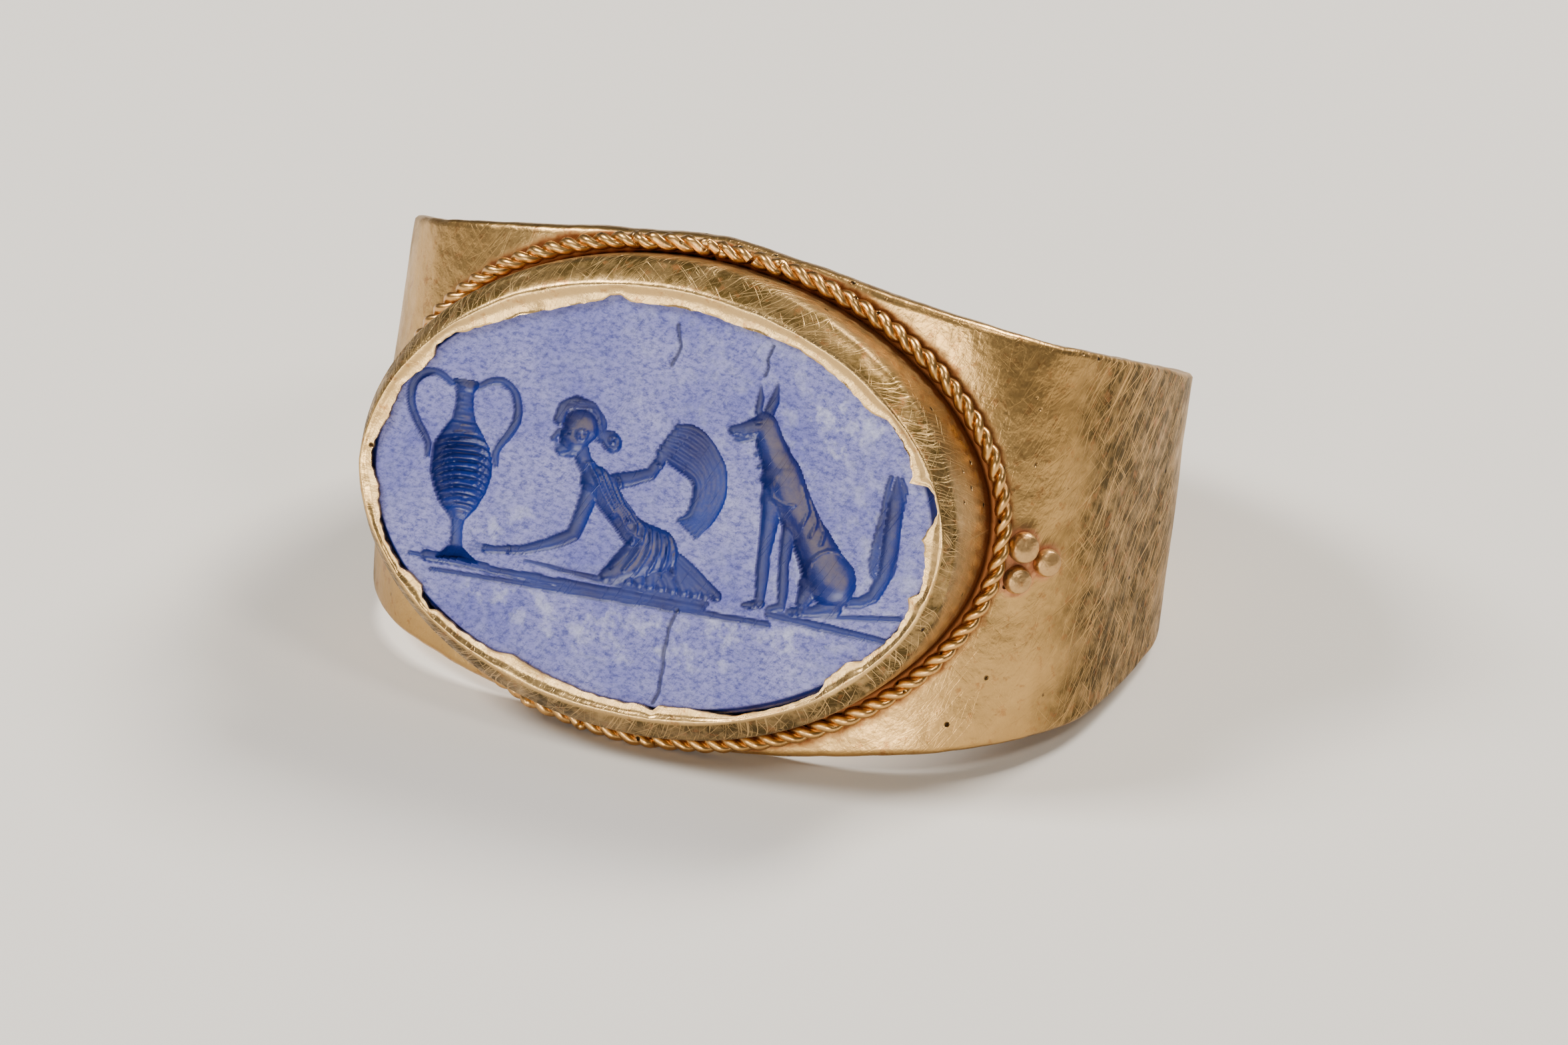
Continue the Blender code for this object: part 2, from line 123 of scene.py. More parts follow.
print("ring tilted by", round(math.degrees(TILT), 2), "degrees, shifted by", round(RING_SHIFT, 3), "mm")


def moved(points, matrix):
    """Points in millimetres, turned and shifted by a matrix."""
    turn = np.array(matrix.to_3x3())
    return np.asarray(points) @ turn.T + np.array(matrix.translation)


def in_bezel(u, v, depth):
    return moved(np.stack([u, -depth, v], axis=-1), BEZEL)


BOX_LOW, BOX_HIGH = (np.array(corner) / MM for corner in cad_box)


def inside(points):
    """The same points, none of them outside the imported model's box."""
    return np.clip(points, BOX_LOW, BOX_HIGH)


# %% [markdown]
# ## Helpers for meshes
# Nearly every piece here is a grid of points bent into shape, open or closed round on itself. One
# helper turns such a grid into a mesh. Another gives smooth, repeatable unevenness.

# %% Grids, noise and curves
def grid_mesh(name, points, close_rows=False, close_columns=False, loose=False):
    """A quad mesh from points[row, column], in millimetres, closed round where asked."""
    rows, columns = points.shape[:2]
    index = np.arange(rows * columns).reshape(rows, columns)
    if close_rows:
        index = np.concatenate([index, index[:1]])
    if close_columns:
        index = np.concatenate([index, index[:, :1]], axis=1)
    quads = np.stack([index[:-1, :-1], index[:-1, 1:], index[1:, 1:], index[1:, :-1]], axis=-1)
    mesh = bpy.data.meshes.new(name)
    mesh.from_pydata((points.reshape(-1, 3) * MM).tolist(), [], quads.reshape(-1, 4).tolist())
    mesh.update()
    return mesh


def outward(mesh):
    """Point the faces of a closed mesh outwards."""
    bm = bmesh.new()
    bm.from_mesh(mesh)
    bmesh.ops.recalc_face_normals(bm, faces=bm.faces)
    if bm.calc_volume(signed=True) < 0.0:
        bmesh.ops.reverse_faces(bm, faces=bm.faces)
    bm.to_mesh(mesh)
    bm.free()


def set_values(mesh, name, values):
    """Store one number for each point, for a material to read."""
    layer = mesh.attributes.new(name, "FLOAT", "POINT")
    layer.data.foreach_set("value", np.asarray(values, np.float32).ravel())


def set_skin(mesh, along, across):
    """Store where each point lies on its unrolled surface, in millimetres."""
    along, across = np.broadcast_arrays(along, across)
    layer = mesh.attributes.new("skin", "FLOAT_VECTOR", "POINT")
    places = np.stack([along, across, 0.0 * along], axis=-1)
    layer.data.foreach_set("vector", places.astype(np.float32).ravel())


def unevenness(points, size, seed=0.0):
    """Smooth noise of about -1 to 1, whose bumps are about size millimetres across."""
    flat = np.asarray(points).reshape(-1, 3) / size + seed
    values = [noise.noise(Vector(place)) for place in flat]
    return np.array(values).reshape(np.asarray(points).shape[:-1])


def waves(points, layers):
    """Unevenness in layers, each with its height, its width in millimetres and a seed."""
    return sum(height * unevenness(points, size, seed) for height, size, seed in layers)


def through(keys, per_span):
    """A smooth curve through keys[0], keys[1] and so on, each an array of points."""
    padded = [2.0 * keys[0] - keys[1], *keys, 2.0 * keys[-1] - keys[-2]]
    rows = []
    for a, b, c, d in zip(padded, padded[1:], padded[2:], padded[3:]):
        for t in np.arange(per_span) / per_span:
            rows.append(
                0.5 * (2.0 * b + (c - a) * t + (2.0 * a - 5.0 * b + 4.0 * c - d) * t**2
                       + (3.0 * b - a - 3.0 * c + d) * t**3)
            )
    return np.stack([*rows, keys[-1]])


def smooth_step(values, low, high):
    share = np.clip((values - low) / (high - low), 0.0, 1.0)
    return share * share * (3.0 - 2.0 * share)


def dress(piece, material, slot, *nodes):
    """Give a finished piece its material, hang it on the root body and hide the imported nodes it replaces.
    """
    piece.data.materials.clear()
    piece.data.materials.append(material)
    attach(piece, "root")
    if nodes:
        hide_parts(*nodes)


def show(name, mesh, sharp_angle=None):
    piece = bpy.data.objects.new(name, mesh)
    bpy.context.scene.collection.objects.link(piece)
    mesh.shade_smooth()
    if sharp_angle:
        mesh.set_sharp_from_angle(angle=math.radians(sharp_angle))
    print(name, len(mesh.polygons), "faces")
    return piece


# %% [markdown]
# ## Helpers for materials
# Colours are written as sRGB hex values, the way a picture editor shows them, and turned into the
# linear light that the renderer works in. One function adds any node, sets it and links it.

# %% Colour and node helpers
def linear(hex_colour):
    """An sRGB hex colour as linear red, green, blue and alpha."""
    parts = [int(hex_colour[k:k + 2], 16) / 255.0 for k in (1, 3, 5)]
    curve = [c / 12.92 if c <= 0.04045 else ((c + 0.055) / 1.055) ** 2.4 for c in parts]
    return (*curve, 1.0)


def add(tree, kind, inputs=None, **settings):
    """Add one node: settings are its properties, inputs its sockets' values or links."""
    made = tree.nodes.new(kind)
    for name, value in settings.items():
        setattr(made, name, value)
    for socket, value in (inputs or {}).items():
        if isinstance(value, bpy.types.NodeSocket):
            tree.links.new(value, made.inputs[socket])
        else:
            made.inputs[socket].default_value = value
    return made


MIX_A, MIX_B, MIXED = 6, 7, 2


def new_material(name):
    material = bpy.data.materials.new(name)
    material.use_nodes = True
    tree = material.node_tree
    shader = tree.nodes["Principled BSDF"]
    place = add(tree, "ShaderNodeTexCoord")
    in_mm = add(tree, "ShaderNodeVectorMath", {0: place.outputs["Object"], "Scale": 1.0 / MM},
                operation="SCALE")
    return material, tree, shader, in_mm.outputs[0]


def layered(tree, base, layers):
    """A base colour with others laid over it in turn, each by its own share."""
    colour = linear(base)
    for share, laid_over in layers:
        colour = add(tree, "ShaderNodeMix", {0: share, MIX_A: colour, MIX_B: linear(laid_over)},
                     data_type="RGBA").outputs[MIXED]
    return colour


# %% [markdown]
# ## Gold
# The ring is high-carat gold sheet and wire, hammered, soldered and worn for centuries. It is a
# metal, so its colour is the colour of its reflections. Wear gives it a satin skin, small dark pits
# where it corroded, a brown darkening in the corners and a redder gold where solder ran. That
# brown is painted shade round the granules and at their feet, and painted reflection at the
# collar's foot. A brown film lies on the shoulders, and scratches cut through it to bright metal,
# which a bump alone can't show. So the scratches are lines that mask the film. Noise in space would
# cut them into dots on a curved band, so they run over the unrolled surface, stored on each mesh as
# "skin". On the collar's upper wall the film is partly painted dark reflection. The places of film,
# darkening and solder are numbers stored on the meshes too, and the rest is noise at real sizes.

# %% Scratches
# Degrees from along the surface, length, width and rarity. Real scratches are finer: these are as
# fine as the render can show.
SCRATCH_SETS = (
    (61, 2.6, 0.045, 0.57), (36, 3.4, 0.05, 0.62), (82, 1.8, 0.04, 0.62), (-42, 1.2, 0.04, 0.64),
)
STREAK = (64, 1.5, 0.22, 0.4)


def scratches(tree, skin, degrees, length, width, rarity, softness=0.1):
    """Lines at one angle on the unrolled surface: noise squeezed across and stretched along."""
    turned = add(tree, "ShaderNodeMapping", {0: skin, "Rotation": (0.0, 0.0, -math.radians(degrees))})
    scale = (1.0 / length, 1.0 / width, 1.0)
    squeezed = add(tree, "ShaderNodeVectorMath", {0: turned.outputs[0], 1: scale}, operation="MULTIPLY")
    lines = add(tree, "ShaderNodeTexNoise", {"Vector": squeezed.outputs[0], "Scale": 1.0, "Detail": 1.0})
    kept = add(tree, "ShaderNodeMapRange", {0: lines.outputs[0], 1: rarity, 2: rarity + softness},
               interpolation_type="SMOOTHSTEP")
    return kept.outputs[0]


def all_scratches(tree, skin):
    lines = [scratches(tree, skin, *made) for made in SCRATCH_SETS]
    deepest = lines[0]
    for line in lines[1:]:
        deepest = add(tree, "ShaderNodeMath", {0: deepest, 1: line}, operation="MAXIMUM").outputs[0]
    return deepest


# %% The film and the pits
BARE_SCORING = 0.15             # how strongly lines show on gold that has no film
FILM_STREAKING = 0.07
FILM_PATCHES = {1: 0.34, 2: 0.64, 3: 0.42}
FILM_CUT_THROUGH = 0.85
PIT_SPACING = 0.62
PIT_EDGE = {1: 0.06, 2: 0.12, 3: 1.0, 4: 0.0}


def film_dark_reflection_and_lines(tree, mottle, tarnish_and_dark_reflection, least_film):
    """How much film lies at each place, partly painted dark reflection on the collar's upper wall, and how
    strongly the scratches show there.
    """
    skin = add(tree, "ShaderNodeAttribute", attribute_name="skin").outputs["Vector"]
    streaks = scratches(tree, skin, *STREAK, softness=0.2)
    uneven = add(tree, "ShaderNodeMath", {0: streaks, 1: FILM_STREAKING, 2: mottle},
                 operation="MULTIPLY_ADD")
    handled = add(tree, "ShaderNodeMath", {0: tarnish_and_dark_reflection, 1: BARE_SCORING}, operation="ADD")
    lines = add(tree, "ShaderNodeMath", {0: all_scratches(tree, skin), 1: handled.outputs[0]},
                operation="MULTIPLY").outputs[0]
    amount = add(tree, "ShaderNodeMath", {0: tarnish_and_dark_reflection, 1: least_film}, operation="ADD")
    patches = add(tree, "ShaderNodeMapRange", {0: uneven.outputs[0], **FILM_PATCHES})
    laid = add(tree, "ShaderNodeMath", {0: amount.outputs[0], 1: patches.outputs[0]}, operation="MULTIPLY")
    unscored = add(tree, "ShaderNodeMath", {0: lines, 1: -FILM_CUT_THROUGH, 2: 1.0},
                   operation="MULTIPLY_ADD")
    film_and_dark_reflection = add(tree, "ShaderNodeMath", {0: laid.outputs[0], 1: unscored.outputs[0]}, operation="MULTIPLY")
    return film_and_dark_reflection.outputs[0], lines


def pits(tree, in_mm, rarity):
    cells = add(tree, "ShaderNodeTexVoronoi", {"Vector": in_mm, "Scale": 1.0 / PIT_SPACING})
    spots = add(tree, "ShaderNodeMapRange", {0: cells.outputs["Distance"], **PIT_EDGE})
    chosen = add(tree, "ShaderNodeMath", {0: cells.outputs["Color"], 1: rarity}, operation="GREATER_THAN")
    return add(tree, "ShaderNodeMath", {0: spots.outputs[0], 1: chosen.outputs[0]},
               operation="MULTIPLY").outputs[0]


# %% The gold material
# Size of the bumps in millimetres, detail and roughness of each noise
GOLD_NOISE = {
    "cloud": (2.6, 4.0, 0.5), "mottle": (0.5, 7.0, 0.7), "specks": (0.3, 3.0, 0.65),
    "ragged": (0.35, 5.0, 0.5), "grain": (0.07, 2.0, 0.5), "hammer": (0.75, 4.0, 0.5),
}
SPECKS_KEPT = {1: 0.57, 2: 0.7, 4: 0.6}
DARKENING_KEPT = {1: 0.68, 2: 1.25, 4: 0.9}
GRAIN_DEPTH = 0.004
PIT_DEPTH = 0.05
HAMMER_STRETCH = 4.0            # noise keeps to the middle of its range, so its depth is stretched


def gold_material(name, pale, warm, roughness, scratch_depth, hammer_depth, least_film, pit_rarity=0.55):
    material, tree, shader, in_mm = new_material(name)
    made = {}
    for label, (size, detail, rough) in GOLD_NOISE.items():
        made[label] = add(tree, "ShaderNodeTexNoise", {
            "Vector": in_mm, "Scale": 1.0 / size, "Detail": detail, "Roughness": rough,
        }).outputs[0]
    for label in ("tarnish_and_dark_reflection", "brown_darkening", "solder"):
        made[label] = add(tree, "ShaderNodeAttribute", attribute_name=label).outputs["Fac"]
    film_and_dark_reflection, lines = film_dark_reflection_and_lines(tree, made["mottle"], made["tarnish_and_dark_reflection"], least_film)
    specks = add(tree, "ShaderNodeMapRange", {0: made["specks"], **SPECKS_KEPT}).outputs[0]
    darkening_sum = add(tree, "ShaderNodeMath", {0: made["brown_darkening"], 1: made["ragged"]}, operation="ADD")
    brown_darkening = add(tree, "ShaderNodeMapRange", {0: darkening_sum.outputs[0], **DARKENING_KEPT}).outputs[0]
    pitted = pits(tree, in_mm, pit_rarity)

    # The brown darkening is painted shade round the granules and at their feet, painted reflection at the
    # collar's foot, dirt on the solder line, and elsewhere darker beside the rope and between its strands;
    # the film colour is partly painted dark reflection on the collar's upper wall
    colour = layered(tree, pale, (
        (made["cloud"], warm), (film_and_dark_reflection, "#544322"), (specks, "#A06A3C"),
        (brown_darkening, "#7A4322"), (made["solder"], "#C98A62"), (pitted, "#2A1C10"),
    ))
    tree.links.new(colour, shader.inputs["Base Color"])

    rough = roughness
    for share, weight in ((film_and_dark_reflection, 0.25), (lines, 0.1), (made["mottle"], 0.16), (brown_darkening, 0.3)):
        rough = add(tree, "ShaderNodeMath", {0: share, 1: weight, 2: rough},
                    operation="MULTIPLY_ADD").outputs[0]
    tree.links.new(rough, shader.inputs["Roughness"])

    below = {}
    for height, depth, sunk in ((made["hammer"], HAMMER_STRETCH * hammer_depth, False),
                                (made["grain"], GRAIN_DEPTH, False),
                                (pitted, PIT_DEPTH, True), (lines, scratch_depth, True)):
        bump = add(tree, "ShaderNodeBump", {"Height": height, "Distance": depth * MM, **below}, invert=sunk)
        below = {"Normal": bump.outputs[0]}
    tree.links.new(below["Normal"], shader.inputs["Normal"])
    shader.inputs["Metallic"].default_value = 1.0
    return material


# %% The ring's four golds
sheet_gold = gold_material("worn satin gold sheet", "#DAB272", "#C89C5C", 0.22, 0.01, 0.014, 0.14)
collar_gold = gold_material("burnished gold collar", "#E0BC80", "#D2A96A", 0.18, 0.006, 0.009, 0.08)
bead_gold = gold_material("flattened gold bead", "#E4BE88", "#CC9E64", 0.3, 0.0, 0.03, 0.3, 1.0)
wire_gold = gold_material("twisted gold wire", "#DCB272", "#CC9858", 0.22, 0.003, 0.004, 0.08)
print("gold materials:", [material.name for material in (sheet_gold, collar_gold, bead_gold, wire_gold)])

# %% [markdown]
# ## The hoop
# On the real ring this is one band cut from sheet, wide behind the bezel and tapering to the back,
# bent into an oval with a flattened front. Its outline is a rounded oblong in front and an ellipse
# behind, so it can be worked out from a few sizes. The inner face is the outer one moved in by the
# sheet's thickness. Shallow dents and a slightly wavy rim keep it from looking machined.

# %% The hoop's outline and width
def fullness(share):
    return SHOULDER_FULLNESS_MIDDLE + (SHOULDER_FULLNESS_RIM - SHOULDER_FULLNESS_MIDDLE) * share**2


def outline(angle, share):
    """Across and along, at an angle from the front and a share of the half width."""
    power = 2.0 / fullness(share)
    across, ahead = np.sin(angle), np.cos(angle)
    front = ahead >= 0.0
    x = HOOP_HALF_SPAN * np.where(front, np.sign(across) * np.abs(across) ** power, across)
    y = np.where(front, -HOOP_FRONT_DEPTH * np.abs(ahead) ** power, -HOOP_BACK_DEPTH * ahead)
    return x, y


fine_angles = np.linspace(0.0, math.pi, 2001)
fine_x, fine_y = outline(fine_angles, 0.0)
arc_lengths = np.concatenate(([0.0], np.cumsum(np.hypot(np.diff(fine_x), np.diff(fine_y)))))
HALF_ROUND = arc_lengths[-1]


def half_width(arc):
    share = np.sin(0.5 * math.pi * np.abs(arc) / HALF_ROUND)
    return HOOP_FRONT_HALF_WIDTH - (HOOP_FRONT_HALF_WIDTH - HOOP_BACK_HALF_WIDTH) * share**HOOP_TAPER_POWER


print("the hoop measures", round(2.0 * HALF_ROUND, 1), "mm round")

# %% [markdown]
# ## What the bezel stands on
# The collar, the rope border and the granules are soldered to the band's curved face. A ray sent
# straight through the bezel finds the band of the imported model, and so how deep each foot sits.

# %% Find the band under the bezel
hoop_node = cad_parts["hoop"]
hoop_tree = BVHTree.FromPolygons(
    [vert.co.copy() for vert in hoop_node.data.vertices],
    [tuple(face.vertices) for face in hoop_node.data.polygons],
)
into_band = BEZEL.to_3x3() @ Vector((0.0, 1.0, 0.0))
RAY_START = 20.0
STEPS_INWARD = (1.0, 0.985, 0.97, 0.95)     # tried in turn where a ray just misses the rim
LEAST_FACING = 0.3


def seat(u, v, lift):
    """Depth, in the bezel's frame, that clears the band's face by lift. Just past a rim, the rim's."""
    for inward in STEPS_INWARD:
        start = BEZEL @ Vector((u, -RAY_START, v * inward))
        spot, normal, _, distance = hoop_tree.ray_cast(start * MM, into_band)
        if spot is not None:
            break
    facing = max(abs(normal.dot(into_band)), LEAST_FACING)
    return RAY_START - distance / MM + lift / facing


clock = np.linspace(0.0, 2.0 * math.pi, 961)[:-1]


def oval(length, width, angle=clock):
    return length * np.cos(angle), width * np.sin(angle)


def seated(u, v, lift):
    return np.array([seat(a, b, lift) for a, b in zip(u, v)])


rope_u, rope_v = oval(ROPE_HALF_LENGTH, ROPE_HALF_WIDTH)
rope_depth = seated(rope_u, rope_v, ROPE_LIFT)
rope_line = in_bezel(rope_u, rope_v, rope_depth)
print("the rope's path goes", round(rope_depth.max() - rope_depth.min(), 2), "mm deeper at the ends")

# %% Find the granules
GRANULE_LABELS = ("upper", "outer", "lower")


def granule_place(name):
    """Foot on the band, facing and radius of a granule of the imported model."""
    points = np.array([vert.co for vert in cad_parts[name].data.vertices])
    middle = Vector(0.5 * (points.min(axis=0) + points.max(axis=0)))
    spot, normal, _, _ = hoop_tree.find_nearest(middle)
    facing = (middle - spot).normalized()
    sideways = points - np.array(spot) - np.outer((points - np.array(spot)) @ facing, facing)
    return spot / MM, facing, np.linalg.norm(sideways, axis=1).max() / MM


granules = {
    side: [granule_place(f"granule_{side}_{label}") for label in GRANULE_LABELS]
    for side in ("right", "left")
}
print("granule radii", [round(radius, 2) for _, _, radius in granules["right"]])

# %% The hoop's face
HOOP_COLUMNS = 700
FACE_ROWS = 84
INNER_ROWS = 22
HAMMERING = ((0.035, 2.6, 3.0), (0.012, 0.9, 8.0))
UNDENTED = (0.3, 1.2)           # distances from the rope between which the dents set in
PUDDLE_WIDTH = 0.02
PUDDLE_HEIGHT = 0.045

# Dents: distance round the band from the front, height, reach and depth
DENTS = (
    (11.6, 2.2, 1.9, 0.1), (13.4, -0.5, 1.6, 0.07), (10.6, 4.2, 1.3, 0.06),
    (12.2, -3.0, 1.8, 0.06), (15.0, 1.2, 1.4, 0.07), (-11.5, 2.6, 1.7, 0.08),
    (-13.2, -1.5, 1.9, 0.08), (-19.0, 0.5, 2.2, 0.09), (21.0, -0.4, 2.0, 0.07), (26.0, 0.6, 2.4, 0.1),
)


def nearest(points, line):
    """Distance from each point to the closest of a line's points."""
    flat = points.reshape(-1, 3)
    best = np.full(len(flat), np.inf)
    for place in line[::4]:
        best = np.minimum(best, ((flat - place) ** 2).sum(axis=1))
    return np.sqrt(best).reshape(points.shape[:-1])


def hoop_face(shares):
    """Outer face of the band, before wear: points[row, column] in the ring's frame."""
    arc = np.linspace(-HALF_ROUND, HALF_ROUND, HOOP_COLUMNS + 1)[:-1]
    angle = np.sign(arc) * np.interp(np.abs(arc), arc_lengths, fine_angles)
    rows = []
    for share in shares:
        x, y = outline(angle, share)
        rows.append(np.stack([x, y, share * half_width(arc)], axis=-1))
    return arc, np.stack(rows)


def face_normals(points):
    along = np.roll(points, -1, axis=1) - np.roll(points, 1, axis=1)
    up = np.gradient(points, axis=0)
    normal = np.cross(along, up)
    return normal / np.linalg.norm(normal, axis=-1, keepdims=True)


def solder_puddle(world):
    """How close each point is to a granule's foot, from 0 to 1."""
    puddle = np.zeros(world.shape[:2])
    for spot, _, radius in granules["right"] + granules["left"]:
        away = np.linalg.norm(world - np.array(spot), axis=-1) - radius
        puddle = np.maximum(puddle, np.exp(-np.maximum(away, 0.0) ** 2 / PUDDLE_WIDTH))
    return puddle


def hammered(arc, clean, from_rope, puddle):
    """How far the face is beaten in or out, none of it where something is soldered on."""
    sunk = waves(moved(clean, RING), HAMMERING)
    for place, height, reach, depth in DENTS:
        away = (arc[None, :] - place) ** 2 + (clean[..., 2] - height) ** 2
        sunk -= depth * np.exp(-away / reach**2)
    return sunk * smooth_step(from_rope, *UNDENTED) * (1.0 - puddle)


# %% Build the hoop
RIM_WAVES = ((0.045, 1.7, 5.0), (0.02, 0.5, 1.0))
RIM_WAVE_POWER = 8              # how closely the waves keep to the rims
RIM_ROUND = 0.09
RIM_STEPS = (0.12, 0.3, 0.5, 0.7, 0.88)
CORNER_WEAR = 0.3
INNER_DENTS = 0.5
TARNISHED_ARC = (9.0, 11.5)     # distances round the band between which the film sets in
CALMER_ARC = (15.0, 18.5)       # and between which it thins again
TARNISH = 0.95
BACK_TARNISH = 0.45
INNER_TARNISH = 0.35
TARNISH_EDGE = ((1.2, 1.5, 11.0),)
ROPE_DARKENING = (0.2, 0.22)         # where the darkening beside the rope starts to fade, and how slowly
BEAD_SHADE = (0.7, 0.97)         # shares of the solder puddle between which the painted shade round each granule sets in
BEAD_SHADE_STRENGTH = 0.75
BEAD_SOLDER = (0.25, 0.8)
BEAD_SOLDER_STRENGTH = 0.8


def rim(first, last, lift):
    """Rounds the edge between the two faces."""
    rows = []
    for t in RIM_STEPS:
        row = first * (1.0 - t) + last * t
        row[..., 2] += lift * (1.0 - (2.0 * t - 1.0) ** 4)
        rows.append(row)
    return np.stack(rows)


def build_hoop():
    reach = np.linspace(-1.0, 1.0, FACE_ROWS)
    arc, clean = hoop_face(reach)
    normals = face_normals(clean)
    world = moved(clean, RING)
    from_rope = nearest(world, rope_line)
    puddle = solder_puddle(world)
    sunk = hammered(arc, clean, from_rope, puddle)
    outer = clean + normals * (sunk + PUDDLE_HEIGHT * puddle)[..., None]
    lower_wave, upper_wave = waves(world[[0, -1]], RIM_WAVES)
    reach = reach[:, None]
    outer[..., 2] += upper_wave * np.maximum(reach, 0.0) ** RIM_WAVE_POWER
    outer[..., 2] -= lower_wave * np.maximum(-reach, 0.0) ** RIM_WAVE_POWER

    rows = np.round(np.linspace(FACE_ROWS - 1, 0, INNER_ROWS)).astype(int)
    inner = (clean - normals * HOOP_SHEET)[rows]
    inner[..., 2] += (outer - clean)[rows][..., 2]
    inner += INNER_DENTS * normals[rows] * sunk[rows][..., None]
    upper = rim(outer[-1], inner[0], RIM_ROUND)
    lower = rim(inner[-1], outer[0], -RIM_ROUND)
    outer[-1, :, 2] -= CORNER_WEAR * RIM_ROUND
    outer[0, :, 2] += CORNER_WEAR * RIM_ROUND
    section = np.concatenate([outer, upper, inner, lower])
    placed = inside(moved(section, RING))
    mesh = grid_mesh("hoop_sheet", placed, close_rows=True, close_columns=True)

    along = np.abs(arc) + waves(placed, TARNISH_EDGE)
    thinning = 1.0 - (1.0 - BACK_TARNISH) * smooth_step(along, *CALMER_ARC)
    tarnish_and_dark_reflection = smooth_step(along, *TARNISHED_ARC) * TARNISH * thinning
    tarnish_and_dark_reflection[FACE_ROWS:] *= INNER_TARNISH
    brown_darkening, solder = np.zeros((2, *section.shape[:2]))
    fade_start, fade = ROPE_DARKENING
    by_rope = np.exp(-(np.maximum(from_rope - fade_start, 0.0) / fade) ** 2)
    # Darker beside the rope, and painted shade in a ring round each granule's foot
    brown_darkening[:FACE_ROWS] = np.maximum(by_rope, BEAD_SHADE_STRENGTH * smooth_step(puddle, *BEAD_SHADE))
    solder[:FACE_ROWS] = BEAD_SOLDER_STRENGTH * smooth_step(puddle, *BEAD_SOLDER)
    for label, values in (("tarnish_and_dark_reflection", tarnish_and_dark_reflection), ("brown_darkening", brown_darkening), ("solder", solder)):
        set_values(mesh, label, values)
    set_skin(mesh, arc, section[..., 2])
    outward(mesh)
    return show("hoop_sheet", mesh, 50)


dress(build_hoop(), sheet_gold, "gold", "hoop")

# %% [markdown]
# ## The collar
# A strip of gold stands round the gem, and its upper edge was rubbed down over the stone. That
# rubbed lip is thin and uneven: it wanders, it is notched where the foil split, and on the right
# it stops short of the stone's edge. Its section is a smooth curve through six points, swept
# round the oval; the ragged inner edge follows a list of places where it turns.

# %% The lip's inner edge
LIP_HALF_LENGTH = 7.5
LIP_HALF_WIDTH = 5.1

# Degrees round the oval, and the share of its size that the edge reaches there
LIP_TURNS = (
    (0, 0.985), (1.2, 0.972), (4.6, 1.0), (8.5, 1.036), (14.3, 1.042), (16.3, 1.024), (17.6, 0.965),
    (19.5, 0.985), (25, 1.004), (35, 1.015), (37.5, 0.985), (40, 0.975), (47, 0.985), (60, 0.998),
    (70, 0.985), (74, 0.978), (82, 0.99), (96.6, 0.987), (98.3, 1.02), (100.6, 1.017), (102.5, 0.99),
    (114, 0.97), (126, 0.979), (134.5, 0.998), (136.1, 1.018), (142, 1.017), (145, 0.99), (149, 0.983),
    (157, 1.0), (166, 0.988), (175, 1.011), (181, 1.013), (187, 0.987), (193, 1.0), (200, 1.017),
    (210, 1.017), (213, 0.995), (216, 0.993), (219, 1.024), (222.2, 1.034), (222.9, 1.014), (229, 1.015),
    (238, 1.006), (242, 0.975), (250, 0.989), (262, 1.009), (271, 1.009), (273.3, 1.031), (274.6, 1.003),
    (281, 1.01), (289, 1.05), (300, 1.046), (309, 1.034), (312, 1.0), (318.6, 0.978), (322, 1.005),
    (334, 1.013), (341, 1.0), (343.7, 0.979), (346, 1.012), (353, 1.0), (360, 0.985),
)


def lip_reach(angle):
    degrees, shares = zip(*LIP_TURNS)
    share = np.interp(np.degrees(angle) % 360.0, degrees, shares)
    nibble = unevenness(np.stack([np.cos(angle), np.sin(angle), 0 * angle], -1), 0.03, 2.0)
    return share + 0.006 * nibble


# %% Build the collar
ROWS_PER_SPAN = 6
OUTER_WALL_ROWS = 18            # those of the first three spans, from the foot to the crest
CREST_TUCK_ENDS = 0.17
CREST_TUCK_SIDES = 0.56
WALL_TUCK = (0.06, 0.2)
FOOT_TUCK = 0.08
BULGE_BELOW_LIP = 0.75
TURN_BELOW_LIP = 0.36
SAG_PLACE = 0.55                # share of the way from the crest to the lip's edge
LIP_SAG = 0.012
LIP_DROP = 0.035
UNDER_LIP = GEM_TABLE + 0.012
EDGE_RIPPLE = ((0.02, 0.11, 4.0),)
SWAY = ((0.01, 0.35, 9.0),)
CREST_SWAY = (3.0, 5.0, 2.0)    # how much of the sway goes along, across and out
WALL_SWAY = 3.0
COLLAR_DENTS = ((0.03, 1.3, 6.0), (0.012, 0.5, 2.0))
# Painted reflection: the orange-brown glow of the rope's gold on the collar's foot; where it starts to
# fade, and how slowly
FOOT_REFLECTED_GLOW = (0.25, 0.3)
# Rows up the outer wall between which the film thickens towards the crest: partly tarnish, partly painted
# dark reflection
DARK_REFLECTION_ROWS = (3.0, 9.0)
LEAST_FILM = 0.05
WALL_FILM = 0.36
UPPER_WALL_FILM_AND_DARK_REFLECTION = 0.56
WALL_FILM_PATCHES = ((0.3, 1.6, 12.0),)


